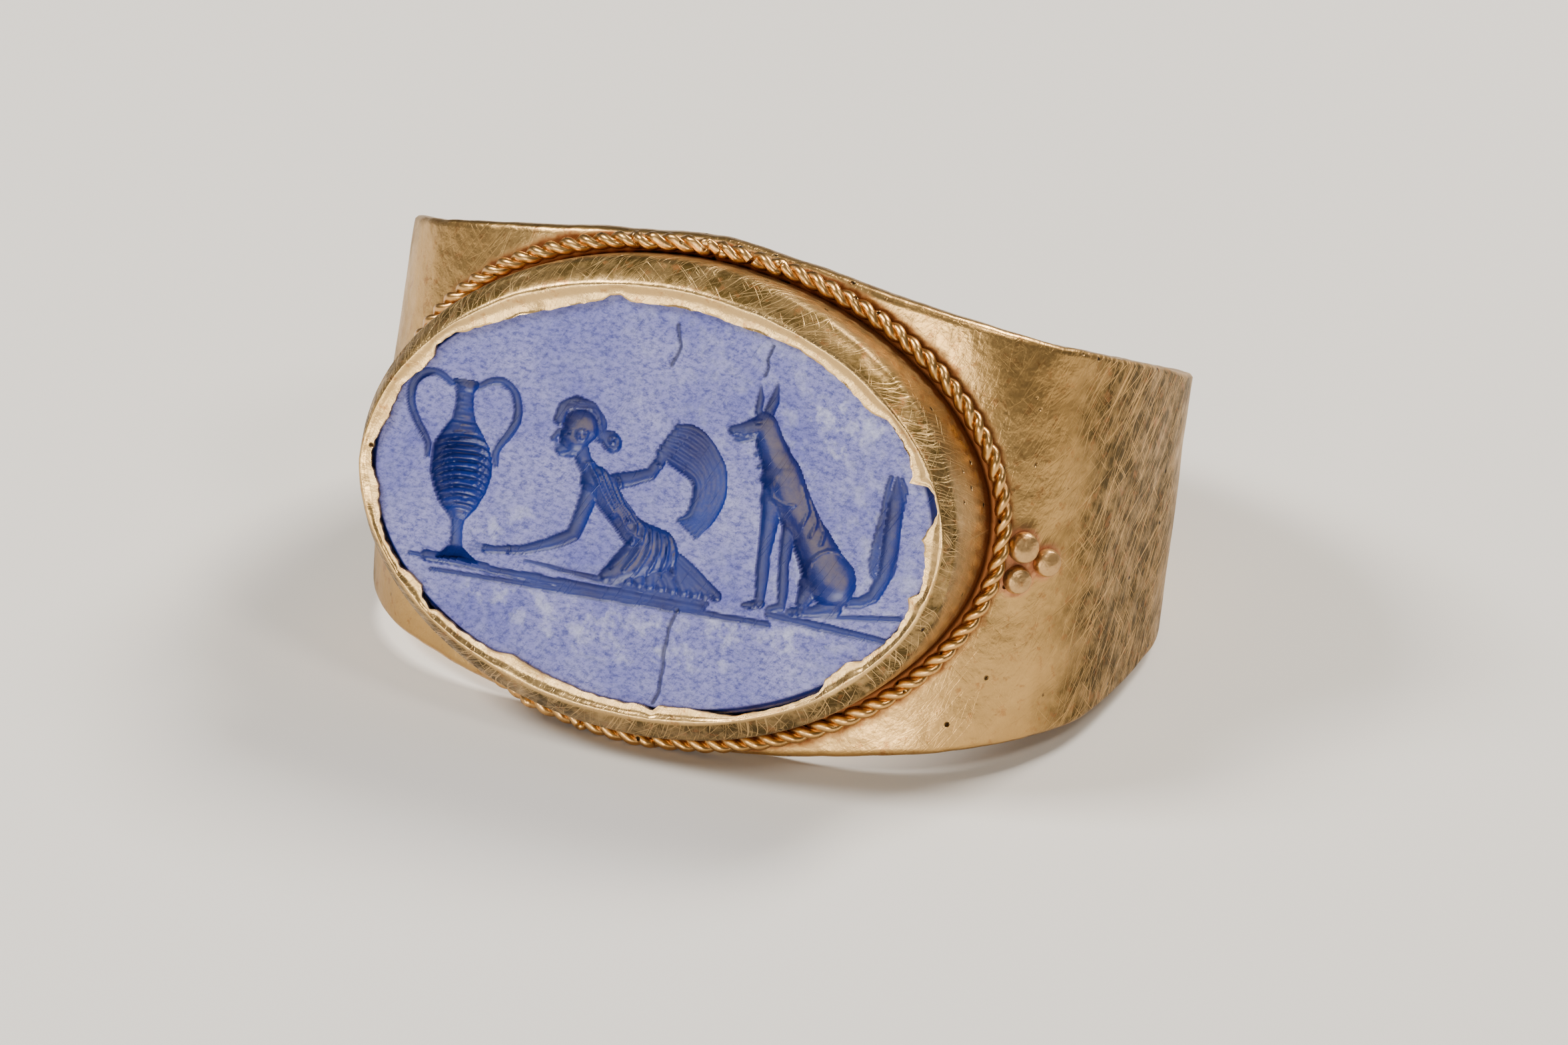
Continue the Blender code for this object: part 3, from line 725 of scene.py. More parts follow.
def collar_section():
    """Rings of points from the foot, up the wall, over the lip and down inside, in the bezel's frame."""
    round_once = np.stack([*oval(1.0, 1.0), 0 * clock], -1)
    sway = waves(round_once, SWAY)
    sway_u, sway_v, sway_out = (sway * share for share in CREST_SWAY)
    crest_tuck = CREST_TUCK_ENDS + (CREST_TUCK_SIDES - CREST_TUCK_ENDS) * np.abs(np.sin(clock))

    def ring(length, width, depth):
        u, v = oval(length, width)
        return np.stack([u, v, depth + 0 * clock], -1)

    def wall_ring(tuck_u, tuck_v, depth):
        return ring(COLLAR_HALF_LENGTH - tuck_u, COLLAR_HALF_WIDTH - tuck_v, depth)

    def on_band(points):
        points[:, 2] = seated(points[:, 0], points[:, 1], 0.0)
        return points

    reach = lip_reach(clock)
    edge_depth = LIP_TOP - LIP_DROP + waves(round_once, EDGE_RIPPLE)
    edge = ring(LIP_HALF_LENGTH * reach, LIP_HALF_WIDTH * reach, edge_depth)
    crest = wall_ring(crest_tuck + sway_u, crest_tuck + sway_v, LIP_TOP + sway_out)
    wall = through([
        on_band(wall_ring(FOOT_TUCK, FOOT_TUCK, 0.0)),
        wall_ring(0.0, 0.0, LIP_TOP - BULGE_BELOW_LIP),
        wall_ring(*WALL_TUCK, LIP_TOP - TURN_BELOW_LIP + WALL_SWAY * sway),
        crest,
        (1.0 - SAG_PLACE) * crest + SAG_PLACE * edge - np.array([0.0, 0.0, LIP_SAG]),
        edge,
    ], ROWS_PER_SPAN)
    under = edge.copy()
    under[:, 2] = UNDER_LIP
    hole = (GEM_HALF_LENGTH + JOIN_GAP, GEM_HALF_WIDTH + JOIN_GAP)
    return wall, np.stack([under, ring(*hole, UNDER_LIP), on_band(ring(*hole, 0.0))])


def build_collar():
    wall, within = collar_section()
    section = np.concatenate([wall, within])
    dents = waves(in_bezel(*np.moveaxis(section, -1, 0)), COLLAR_DENTS)
    section[1:-4, :, 2] += dents[1:-4]
    placed = inside(in_bezel(*np.moveaxis(section, -1, 0)))
    mesh = grid_mesh("bezel_wall", placed, close_rows=True, close_columns=True)

    # Painted reflection: the foot of the wall, just above the rope, takes the brown darkening as the
    # orange-brown glow of the rope's gold
    height = section[:len(wall), :, 2] - section[:1, :, 2]
    fade_start, fade = FOOT_REFLECTED_GLOW
    brown_darkening = np.zeros(section.shape[:2])
    brown_darkening[:len(wall)] = np.exp(-(np.maximum(height - fade_start, 0.0) / fade) ** 2)
    set_values(mesh, "brown_darkening", brown_darkening)
    # The outer wall's film, thicker from the middle of the wall to the crest: partly tarnish, partly
    # painted dark reflection of the dim surroundings
    tarnish_and_dark_reflection = np.full(section.shape[:2], LEAST_FILM)
    film_and_dark_reflection_rise = smooth_step(np.arange(OUTER_WALL_ROWS), *DARK_REFLECTION_ROWS)[:, None]
    patches = waves(placed[:OUTER_WALL_ROWS], WALL_FILM_PATCHES)
    tarnish_and_dark_reflection[:OUTER_WALL_ROWS] = WALL_FILM + UPPER_WALL_FILM_AND_DARK_REFLECTION * film_and_dark_reflection_rise + patches
    set_values(mesh, "tarnish_and_dark_reflection", tarnish_and_dark_reflection)
    steps = np.linalg.norm(np.diff(placed, axis=0, prepend=placed[:1]), axis=-1)
    set_skin(mesh, clock * COLLAR_HALF_LENGTH, np.cumsum(steps, axis=0))
    outward(mesh)
    return show("bezel_wall", mesh, 42)


dress(build_collar(), collar_gold, "gold", "bezel_collar")

# %% [markdown]
# ## The rope border
# Two round wires were twisted together and laid round the collar's foot. Each strand is a helix
# about one shared path, which is a rule that Geometry Nodes can follow: the path is resampled,
# every point steps off it by the strand's distance, turned as far as it has come, and a small
# circle is swept along. The same branch is built twice, half a turn apart.

# %% How both node trees of this ring start and end
def new_tree(name, inputs):
    """A geometry tree, and the sockets of its named inputs."""
    tree = bpy.data.node_groups.new(name, "GeometryNodeTree")
    for label, kind in inputs:
        tree.interface.new_socket(label, in_out="INPUT", socket_type="NodeSocket" + kind)
    tree.interface.new_socket("Made", in_out="OUTPUT", socket_type="NodeSocketGeometry")
    return tree, add(tree, "NodeGroupInput").outputs


def end_tree(tree, geometry, gold):
    """Instances become a plain mesh, which takes the gold."""
    whole = add(tree, "GeometryNodeRealizeInstances", {"Geometry": geometry})
    gilded = add(tree, "GeometryNodeSetMaterial", {"Geometry": whole.outputs[0], "Material": gold})
    add(tree, "NodeGroupOutput", {"Made": gilded.outputs[0]})
    print(tree.name, "has", len(tree.nodes), "nodes")
    return tree


# %% The tree that twists two strands
STRAND_RADIUS = 0.128
STRAND_OFFSET = 0.106
ROPE_TURNS = 48
ROPE_SEAM = math.radians(78)
ROPE_SEAM_GAP = 0.1


def twist_tree():
    tree, given = new_tree("two strands twisted", (
        ("Path", "Geometry"), ("Turns", "Float"), ("Strand Radius", "Float"), ("Strand Offset", "Float"),
        ("Steps", "Int"), ("Sides", "Int"), ("Gold", "Material"),
    ))
    path = add(tree, "GeometryNodeResampleCurve", {"Curve": given["Path"], "Count": given["Steps"]})
    share = add(tree, "GeometryNodeSplineParameter")
    normal = add(tree, "GeometryNodeInputNormal")
    tangent = add(tree, "GeometryNodeInputTangent")
    side = add(tree, "ShaderNodeVectorMath", {0: tangent.outputs[0], 1: normal.outputs[0]},
               operation="CROSS_PRODUCT")
    turns = add(tree, "ShaderNodeMath", {0: share.outputs["Factor"], 1: given["Turns"]},
                operation="MULTIPLY")
    circle = add(tree, "GeometryNodeCurvePrimitiveCircle",
                 {"Resolution": given["Sides"], "Radius": given["Strand Radius"]})
    joined = add(tree, "GeometryNodeJoinGeometry")
    for phase in (0.0, math.pi):
        angle = add(tree, "ShaderNodeMath", {0: turns.outputs[0], 1: 2.0 * math.pi, 2: phase},
                    operation="MULTIPLY_ADD")
        steps = []
        for swing, direction in (("COSINE", normal), ("SINE", side)):
            amount = add(tree, "ShaderNodeMath", {0: angle.outputs[0]}, operation=swing)
            reach = add(tree, "ShaderNodeMath", {0: amount.outputs[0], 1: given["Strand Offset"]},
                        operation="MULTIPLY")
            steps.append(add(tree, "ShaderNodeVectorMath",
                             {0: direction.outputs[0], "Scale": reach.outputs[0]}, operation="SCALE"))
        offset = add(tree, "ShaderNodeVectorMath", {0: steps[0].outputs[0], 1: steps[1].outputs[0]},
                     operation="ADD")
        strand = add(tree, "GeometryNodeSetPosition",
                     {"Geometry": path.outputs[0], "Offset": offset.outputs[0]})
        swept = add(tree, "GeometryNodeCurveToMesh",
                    {"Curve": strand.outputs[0], "Profile Curve": circle.outputs[0], "Fill Caps": True})
        tree.links.new(swept.outputs[0], joined.inputs[0])
    return end_tree(tree, joined.outputs[0], given["Gold"])


# %% Bake a tree's result into a plain mesh
def grown(name, base, tree, values):
    """Run a node tree on a base object with named inputs, and keep the mesh that it makes."""
    bpy.context.scene.collection.objects.link(base)
    modifier = base.modifiers.new("grow", "NODES")
    modifier.node_group = tree
    sockets = {item.name: item.identifier for item in tree.interface.items_tree if item.in_out == "INPUT"}
    for label, value in values.items():
        modifier[sockets[label]] = value
    bpy.context.view_layer.update()
    graph = bpy.context.evaluated_depsgraph_get()
    mesh = bpy.data.meshes.new_from_object(base.evaluated_get(graph), depsgraph=graph)
    mesh.name = name
    bpy.data.objects.remove(base)
    return mesh


# %% Build the rope
STEPS_PER_TURN = 22
STRAND_SIDES = 10
PATH_POINTS = 721
WORN_FROM = math.radians(80)
WORN_TO = math.radians(99)
WORN_FADES = (0.05, 0.08)
RUBBED_ABOVE = 0.2              # height over the path where rubbing starts, and less where worn
RUBBED_LOWER = 0.08
RUB_WAVES = ((0.02, 1.4, 7.0),)
LEFT_BY_RUBBING = 0.3
ROPE_SHAKE = ((0.012, 0.4, 2.0),)
BETWEEN_STRANDS = (0.1, 0.17)
LOW_ON_ROPE = (-0.16, 0.02)
DARKER_BETWEEN_STRANDS = 0.34
DARKER_LOW_ON_ROPE = 0.42


def rope_path():
    """The path as an open curve that starts and ends at the seam."""
    seam = 0.5 * ROPE_SEAM_GAP / COLLAR_HALF_LENGTH
    angles = np.linspace(ROPE_SEAM + seam, ROPE_SEAM + 2.0 * math.pi - seam, PATH_POINTS)
    u, v = oval(ROPE_HALF_LENGTH, ROPE_HALF_WIDTH, angles)
    points = in_bezel(u, v, seated(u, v, ROPE_LIFT))
    curve = bpy.data.curves.new("rope_path", "CURVE")
    curve.dimensions = "3D"
    spline = curve.splines.new("POLY")
    spline.points.add(len(points) - 1)
    for knot, point in zip(spline.points, points):
        knot.co = (*(point * MM), 1.0)
    return bpy.data.objects.new("rope_path", curve)


def rubbed(points):
    """Flattens what stands highest over the path, most on the worn stretch. Gives height as well."""
    back = moved(points, BEZEL.inverted())
    angle = np.arctan2(back[:, 2] / COLLAR_HALF_WIDTH, back[:, 0] / COLLAR_HALF_LENGTH)
    clock_place = (angle / (2.0 * math.pi)) % 1.0 * len(clock)
    path_depth = np.interp(clock_place, np.arange(len(clock)), rope_depth, period=len(clock))
    proud = -back[:, 1] - path_depth
    worn = smooth_step(angle, WORN_FROM, WORN_FROM + WORN_FADES[0])
    worn *= 1.0 - smooth_step(angle, WORN_TO - WORN_FADES[1], WORN_TO)
    limit = RUBBED_ABOVE - RUBBED_LOWER * worn + waves(points, RUB_WAVES)
    height = np.where(proud > limit, limit + LEFT_BY_RUBBING * (proud - limit), proud)
    back[:, 1] = -(path_depth + height)
    return moved(back, BEZEL), height


def build_rope():
    mesh = grown("twisted_wire_border", rope_path(), twist_tree(), {
        "Turns": float(ROPE_TURNS), "Strand Radius": STRAND_RADIUS * MM,
        "Strand Offset": STRAND_OFFSET * MM, "Steps": ROPE_TURNS * STEPS_PER_TURN,
        "Sides": STRAND_SIDES, "Gold": wire_gold,
    })
    points, height = rubbed(np.array([vert.co for vert in mesh.vertices]) / MM)
    points = inside(points + waves(points, ROPE_SHAKE)[:, None])
    mesh.vertices.foreach_set("co", (points * MM).ravel())
    # Darker between the strands and on the rope's low side, next to the band
    sunk = 1.0 - smooth_step(nearest(points, rope_line), *BETWEEN_STRANDS)
    low = 1.0 - smooth_step(height, *LOW_ON_ROPE)
    set_values(mesh, "brown_darkening", np.maximum(DARKER_BETWEEN_STRANDS * sunk, DARKER_LOW_ON_ROPE * low))
    mesh.update()
    return show("twisted_wire_border", mesh)


dress(build_rope(), wire_gold, "gold", "rope_border")

# %% [markdown]
# ## Solder under the rope
# A dark reddish line shows between the rope and the collar, where solder and old dirt fill the
# corner. It is a thin uneven bead swept round the same oval, just inside the rope.

# %% Build the solder line
SOLDER_OUT = 0.02
SOLDER_LIFT = 0.1
SOLDER_SIZE = 0.15
SOLDER_WAVES = ((0.05, 0.5, 3.0), (0.03, 1.8, 1.0))
SOLDER_SIDES = 8


def build_solder_line():
    u, v = oval(COLLAR_HALF_LENGTH + SOLDER_OUT, COLLAR_HALF_WIDTH + SOLDER_OUT)
    depth = seated(u, v, SOLDER_LIFT)
    size = SOLDER_SIZE + waves(in_bezel(u, v, depth), SOLDER_WAVES)
    rows = []
    for turn in np.arange(SOLDER_SIDES) * 2.0 * math.pi / SOLDER_SIDES:
        out_u, out_v = oval(size * math.cos(turn), size * math.cos(turn))
        rows.append(in_bezel(u + out_u, v + out_v, depth + size * math.sin(turn)))
    mesh = grid_mesh("solder_line", inside(np.stack(rows)), close_rows=True, close_columns=True)
    set_values(mesh, "brown_darkening", np.ones(len(mesh.vertices)))
    outward(mesh)
    return show("solder_line", mesh)


dress(build_solder_line(), wire_gold, "gold")

# %% [markdown]
# ## Granules
# Three small gold beads sit on each shoulder, pressed a little flat. They are copies of one ball
# at different sizes, which is a job for instances: each stored point carries a radius and the way
# it faces, the tree puts a flattened ball there, and realizing makes them one plain mesh.

# %% The tree that sets beads
BEAD_FLATNESS = 0.92


def bead_tree():
    tree, given = new_tree("beads on points", (
        ("Places", "Geometry"), ("Flatness", "Float"), ("Gold", "Material"),
    ))
    radius = add(tree, "GeometryNodeInputNamedAttribute", {"Name": "radius"}, data_type="FLOAT")
    facing = add(tree, "GeometryNodeInputNamedAttribute", {"Name": "facing"}, data_type="FLOAT_VECTOR")
    turn = add(tree, "FunctionNodeAlignRotationToVector", {"Vector": facing.outputs[0]}, axis="Z")
    height = add(tree, "ShaderNodeMath", {0: radius.outputs[0], 1: given["Flatness"]}, operation="MULTIPLY")
    size = add(tree, "ShaderNodeCombineXYZ",
               {0: radius.outputs[0], 1: radius.outputs[0], 2: height.outputs[0]})
    ball = add(tree, "GeometryNodeMeshIcoSphere", {"Radius": 1.0, "Subdivisions": 5})
    placed = add(tree, "GeometryNodeInstanceOnPoints", {
        "Points": given["Places"], "Instance": ball.outputs["Mesh"],
        "Rotation": turn.outputs[0], "Scale": size.outputs[0],
    })
    return end_tree(tree, placed.outputs[0], given["Gold"])


# %% Build the granules
BEAD_CENTRE = 0.44
BEAD_TOP = 0.5                  # where pressing starts, as a share of the radius
BEAD_PRESSED = 0.55
BEAD_WAVES = ((0.02, 0.3, 5.0),)
# Painted shade: the lower part of each bead, where it meets the band, is darkened
BEAD_FOOT = (-0.3, 0.2)
BEAD_FOOT_SHADE = 0.8


def bead_places(places):
    """One point for each bead, at its centre, that carries its radius and the way it faces."""
    mesh = bpy.data.meshes.new("bead_places")
    centres = [(spot + facing * BEAD_CENTRE * radius) * MM for spot, facing, radius in places]
    mesh.from_pydata(centres, [], [])
    sizes = mesh.attributes.new("radius", "FLOAT", "POINT")
    ways = mesh.attributes.new("facing", "FLOAT_VECTOR", "POINT")
    for k, (_, facing, radius) in enumerate(places):
        sizes.data[k].value = radius * MM
        ways.data[k].vector = facing
    return bpy.data.objects.new("bead_places", mesh), np.array(centres) / MM


def build_granules(side, tree):
    places = granules[side]
    base, centres = bead_places(places)
    name = f"granules_{side}"
    made = grown(name, base, tree, {"Flatness": BEAD_FLATNESS, "Gold": bead_gold})
    points = np.array([vert.co for vert in made.vertices]) / MM
    facing = np.array(places[0][1])
    away = points[:, None, :] - centres[None]
    own = np.linalg.norm(away, axis=-1).argmin(axis=1)
    rise = away[np.arange(len(points)), own] @ facing
    radii = np.array([radius for _, _, radius in places])[own]
    top = BEAD_TOP * radii
    points -= np.where(rise > top, BEAD_PRESSED * (rise - top), 0.0)[:, None] * facing
    points += waves(points, BEAD_WAVES)[:, None] * facing
    made.vertices.foreach_set("co", (points * MM).ravel())
    made.update()
    # Painted shade at the foot of each bead
    set_values(made, "brown_darkening", BEAD_FOOT_SHADE * (1.0 - smooth_step(rise / radii, *BEAD_FOOT)))
    return show(name, made)


beads = bead_tree()
for side in granules:
    dress(build_granules(side, beads), bead_gold, "gold",
          *[f"granule_{side}_{label}" for label in GRANULE_LABELS])

# %% [markdown]
# ## The engraving
# The gem is cut in intaglio: small wheels sank round-bottomed grooves into the polished stone. So
# the carving is a depth at every point of the table, and each form is a groove that runs from one
# radius to another. Where grooves meet, the deepest wins, which leaves the crisp ridges that real
# wheel cutting leaves. Lengths are hundredths of the visible gem's half length.

# %% Grooves
HUNDREDTH = LIP_HALF_LENGTH / 100.0
CARVING_DEPTH = 0.66


def groove(u, v, start, end):
    """Depth of a round-bottomed cut whose radius runs from one end's to the other's."""
    (ax, ay, ar), (bx, by, br) = start, end
    dx, dy = bx - ax, by - ay
    share = np.clip(((u - ax) * dx + (v - ay) * dy) / (dx * dx + dy * dy), 0.0, 1.0)
    radius = ar + (br - ar) * share
    away = (u - ax - share * dx) ** 2 + (v - ay - share * dy) ** 2
    return np.sqrt(np.maximum(radius * radius - away, 0.0))


def limb(u, v, points):
    return np.maximum.reduce([groove(u, v, a, b) for a, b in zip(points, points[1:])])


def strokes(u, v, lines, radius):
    """Thin cuts of one radius, each a line through its points."""
    return np.maximum.reduce([limb(u, v, [(*p, radius) for p in line]) for line in lines])


def curved(points, per_span=5):
    """The same cut with its corners rounded into a smooth curve."""
    return [tuple(p) for p in through([np.array(p, float) for p in points], per_span)]


def arc(middle, radius, first, last, steps=7):
    """Points along a round stretch, in degrees from the right."""
    angles = np.radians(np.linspace(first, last, steps))
    return [(middle[0] + radius * math.cos(a), middle[1] + radius * math.sin(a)) for a in angles]


# %% The jar
JAR_AXIS = -69.5
JAR_PROFILE = (
    (32, 4.2), (30.5, 5.2), (29, 4), (27, 3.3), (22, 3.4), (18, 4.4), (14, 7.2), (10, 9.9), (5, 11.1),
    (0, 11), (-6, 9.4), (-11, 6.8), (-14, 4.2), (-16, 2.6), (-20, 2.1), (-25, 2.4), (-28, 6.5), (-30, 8.5),
)
JAR_HANDLE = (
    (5, 30, 1.3), (9, 32.5, 1.5), (13.5, 33, 1.6), (17.5, 30.5, 1.7), (19.4, 26, 1.7), (19.2, 21, 1.7),
    (17, 16, 1.6), (13.8, 11.5, 1.5), (12.2, 8, 1.4), (12.6, 4.5, 1.1),
)
JAR_FULLNESS = 0.86
JAR_RIDGE = 2.9
JAR_RIDGE_DEPTH = 0.13
JAR_NECK_RIDGE = 3.2
JAR_NECK_RIDGE_DEPTH = 0.1
JAR_SAG = 0.02


def jar(u, v):
    heights, radii = zip(*reversed(JAR_PROFILE))
    radius = np.interp(v, heights, radii, left=0.0, right=0.0)
    body = np.sqrt(np.maximum(radius**2 - (u - JAR_AXIS) ** 2, 0.0))
    belly = smooth_step(v, -15.0, -12.0) * (1.0 - smooth_step(v, 12.0, 15.0))
    sag = v + JAR_SAG * (u - JAR_AXIS) ** 2
    ridges = JAR_RIDGE_DEPTH * belly * np.cos(2.0 * math.pi * sag / JAR_RIDGE)
    neck = JAR_NECK_RIDGE_DEPTH * (v > 16.0) * np.cos(2.0 * math.pi * v / JAR_NECK_RIDGE)
    handles = [limb(side * (u - JAR_AXIS), v, curved(JAR_HANDLE, 3)) for side in (-1.0, 1.0)]
    collar = groove(u, v, (JAR_AXIS - 5.4, 14.2, 0.9), (JAR_AXIS + 5.4, 14.2, 0.9))
    return np.maximum.reduce([body * (JAR_FULLNESS + ridges + neck), *handles, body * 0.9 * (collar > 0)])


# %% The kneeling woman
WOMAN = (
    ((-29.5, 17.5, 5.2), (-27.2, 21.5, 6.4)),
    ((-33.8, 12.6, 2), (-30, 14.2, 3.3), (-27, 15.5, 3)),
    ((-34.9, 19.4, 1.1), (-36.7, 16.6, 1.2), (-35.6, 16, 1)),
    ((-35.2, 14.6, 0.95), (-34, 14.4, 1)),
    ((-34.9, 12.9, 0.9), (-33.8, 12.9, 1)),
    ((-26.4, 13.5, 3), (-25.2, 10, 2.9), (-22, 6.5, 3.6)),
    ((-20.5, 4, 5.6), (-14.5, -2, 4.9), (-8, -9, 4.6), (-3, -13, 6), (3, -16, 7.6)),
    ((3, -16, 7.4), (-5, -21.5, 5.6), (-12.5, -26.5, 3.6)),
    ((-21.5, 2.5, 3.3), (-24.5, -7, 2.9), (-27.5, -15.3, 2.5), (-36, -19.6, 2.2), (-46, -22.9, 1.8),
     (-55, -24.2, 1.5)),
    ((-55, -24.2, 1.5), (-58.6, -24.4, 1.9)),
    ((-13.5, 5, 3), (-7, 7, 2.6), (-1, 9.2, 2.3), (3.2, 16, 2), (6, 22.2, 1.6)),
    ((6, 22.2, 1.7), (7.4, 25, 1.5)),
)
FINGERS = (
    ((-59, -23.4), (-63.2, -22.4)), ((-59.4, -24), (-64.6, -23.8)), ((-59.4, -24.8), (-64.6, -25.3)),
    ((-59, -25.4), (-63.4, -26.7)), ((7, 25), (5.6, 28.2)), ((7.6, 25.2), (8, 28.8)), ((8, 25), (10, 27.8)),
)
HAIR = (
    ((-35.2, 23, 2), (-33.4, 27, 2.6), (-29, 29.6, 2.8), (-24, 28, 3), (-20.6, 24, 3), (-20, 19.4, 2.6)),
    ((-16.2, 18.6, 3.7), (-15.6, 18, 3.7)),
)
HAIR_MIDDLE = (-27.3, 20.6)
BUN_MIDDLE = (-15.9, 18.3)


def hair(u, v):
    mass = np.maximum.reduce([limb(u, v, points) for points in HAIR])
    du, dv = u - HAIR_MIDDLE[0], v - HAIR_MIDDLE[1]
    waves = np.cos(2.4 * np.hypot(du, dv) + 1.6 * np.sin(5.0 * np.arctan2(dv, du)))
    bun = np.hypot(u - BUN_MIDDLE[0], v - BUN_MIDDLE[1])
    coil = np.cos(2.9 * bun + np.arctan2(v - BUN_MIDDLE[1], u - BUN_MIDDLE[0]))
    pattern = np.where(bun < 4.0, coil, waves)
    return mass * (0.88 + 0.14 * pattern)


def drapery(u, v):
    """Folds that fall from the waist to the ground."""
    cuts = []
    for k, hem in enumerate(np.linspace(-15, 25, 11)):
        bend = (0.5 * (hem - 1.0) + 2.0 * math.sin(2.1 * k), -19.0 + 1.5 * math.cos(1.7 * k), 1.9)
        points = [(-1.5 + 0.55 * k, -10.5 - 0.35 * k, 1.5), bend, (hem, -27.6 - 0.1 * k, 2.3)]
        cuts.append(limb(u, v, curved(points)))
    return np.maximum.reduce(cuts) * 1.25


def folds():
    """Lines of the dress: from the shoulder round the chest, and from the hip over the thigh."""
    lines = []
    for k in range(5):
        start = (-23.5 + 2.6 * k, 8.6 - 0.6 * k)
        lines.append(curved([start, (start[0] + 3.4, start[1] - 7.5), (start[0] + 9.4, start[1] - 15.5)]))
    for k in range(6):
        start = (-6 + 2.5 * k, -9.6 - 0.3 * k)
        lines.append(curved([start, (start[0] - 2.2 + 0.8 * k, -17.5), (start[0] - 8.2 + 2.1 * k, -24.8)]))
    return lines


# The veil's outer edge, and how far it moves and how wide it cuts from one fold to the next
VEIL_EDGE = np.array([(7.5, 26.5, 1.1), (14, 26, 1.7), (21.5, 19.5, 1.9), (25, 9, 1.9), (22, -1.5, 1.7),
                      (16.5, -9.5, 0.9)])
VEIL_STEP = np.array([(-0.4, -0.6, 0), (-0.45, -0.75, 0), (-0.5, -0.55, 0), (-0.55, -0.2, 0),
                      (-0.5, -0.05, 0), (-0.42, 0.3, 0)])
VEIL_FOLDS = 6
VEIL_SPACING = 3.1
VEIL_RELIEF = 1.6


def veil(u, v):
    cuts = []
    for k in range(VEIL_FOLDS):
        cuts.append(limb(u, v, curved(VEIL_EDGE + VEIL_SPACING * k * VEIL_STEP)))
    return np.maximum.reduce(cuts) * VEIL_RELIEF


WAIST = (((-12.4, -7.4), (-9.4, -11.2), (-5.4, -13.8)), ((-13.8, -5.8), (-10.6, -9.4)))
EYE = (((-34, 18.5), (-32.2, 18.9)),)
EYEBROW = (arc((-33, 18.4), 2.3, 50, 130),)
EAR = (arc((-27.8, 18.4), 1.7, -60, 240),)
LINE_DEPTH = 1.3
BRACELETS = (((-50.6, -22), (-50.2, -25.6)), ((0.2, 13.4), (3.2, 12)), ((-25.6, 9.2), (-21.8, 10.4)))


def woman(u, v):
    body = np.maximum.reduce([limb(u, v, points) for points in WOMAN])
    body = np.maximum(body, strokes(u, v, FINGERS, 0.62))
    clothes = np.maximum(drapery(u, v), veil(u, v))
    depth = np.maximum.reduce([body, hair(u, v), clothes])
    eye = strokes(u, v, EYE, 0.8) + strokes(u, v, EYEBROW, 0.5)
    lines = np.maximum.reduce([eye, strokes(u, v, EAR, 0.6), strokes(u, v, WAIST, 0.7),
                               strokes(u, v, BRACELETS, 0.6), strokes(u, v, folds(), 0.75)])
    return depth + LINE_DEPTH * lines * (depth > 0.0)


# %% The hound
HOUND = (
    ((38.5, 31, 5), (34.5, 29.5, 3.6), (30, 28.6, 2.3), (27.6, 28.2, 2)),
    ((34.5, 27.6, 2.2), (30, 25.6, 1.4), (28.4, 25.5, 1)),
    ((39.5, 35, 2), (41.4, 40, 2), (42.6, 46, 0.7)),
    ((36, 35.5, 1.5), (36.6, 40.5, 1.4), (36.6, 44.6, 0.6)),
    ((39.4, 29.5, 4.8), (42.4, 22.5, 5.4), (46, 16, 7)),
    ((46.3, 13.5, 7.8), (49.5, 7, 7.2), (56, -2, 6.4), (61.5, -11, 8), (65, -17, 9.6)),
    ((43.2, 8.5, 4.4), (42.6, -1, 3.2), (41.4, -12, 2.3), (41.2, -20, 2.4), (40.8, -27.6, 1.8)),
    ((40.8, -28.6, 2), (37, -29.9, 1.7), (35.4, -30.2, 1.3)),
    ((50.4, 2, 3.2), (49.2, -7, 2.6), (48.6, -14, 2), (48.8, -21, 2.1), (48.6, -27.6, 1.6)),
    ((48.6, -28.8, 1.8), (45, -30, 1.4), (43.9, -30.2, 1.1)),
    ((65.5, -20, 6), (58.5, -20.5, 4.4), (56, -26, 2.6)),
    ((67, -26.4, 3.2), (60, -28.8, 2.1), (53, -29.9, 1.9), (51.6, -30.1, 1.4)),
    ((72, -24, 2), (76.5, -23.4, 2), (81, -20.6, 2.2), (84.2, -14, 2.6), (85.6, -5, 3),
     (86.2, 4, 3.2), (86.8, 12, 2.8), (86.8, 20.5, 0.9)),
)
HOUND_LINES = (
    arc((47, 11), 6.2, 150, 290), arc((64.5, -16.5), 8.4, 60, 200),
    [(52, 12), (54.5, 4), (52.5, -1.5)], [(55.5, 8.5), (58, 1), (56, -4.5)],
    [(59, 4.5), (61, -2), (59.4, -7)],
    [(27.2, 26.9), (31, 27), (34, 28)], [(41.6, -28.2), (40.6, -30.4)], [(38.4, -28.8), (37.6, -31)],
    [(56, -28.4), (55.2, -30.8)], [(53.8, -28.8), (53, -31)],
)
HOUND_EYE = (((34.6, 31.6), (36, 32)),)
HOUND_LINE_DEPTH = 0.95


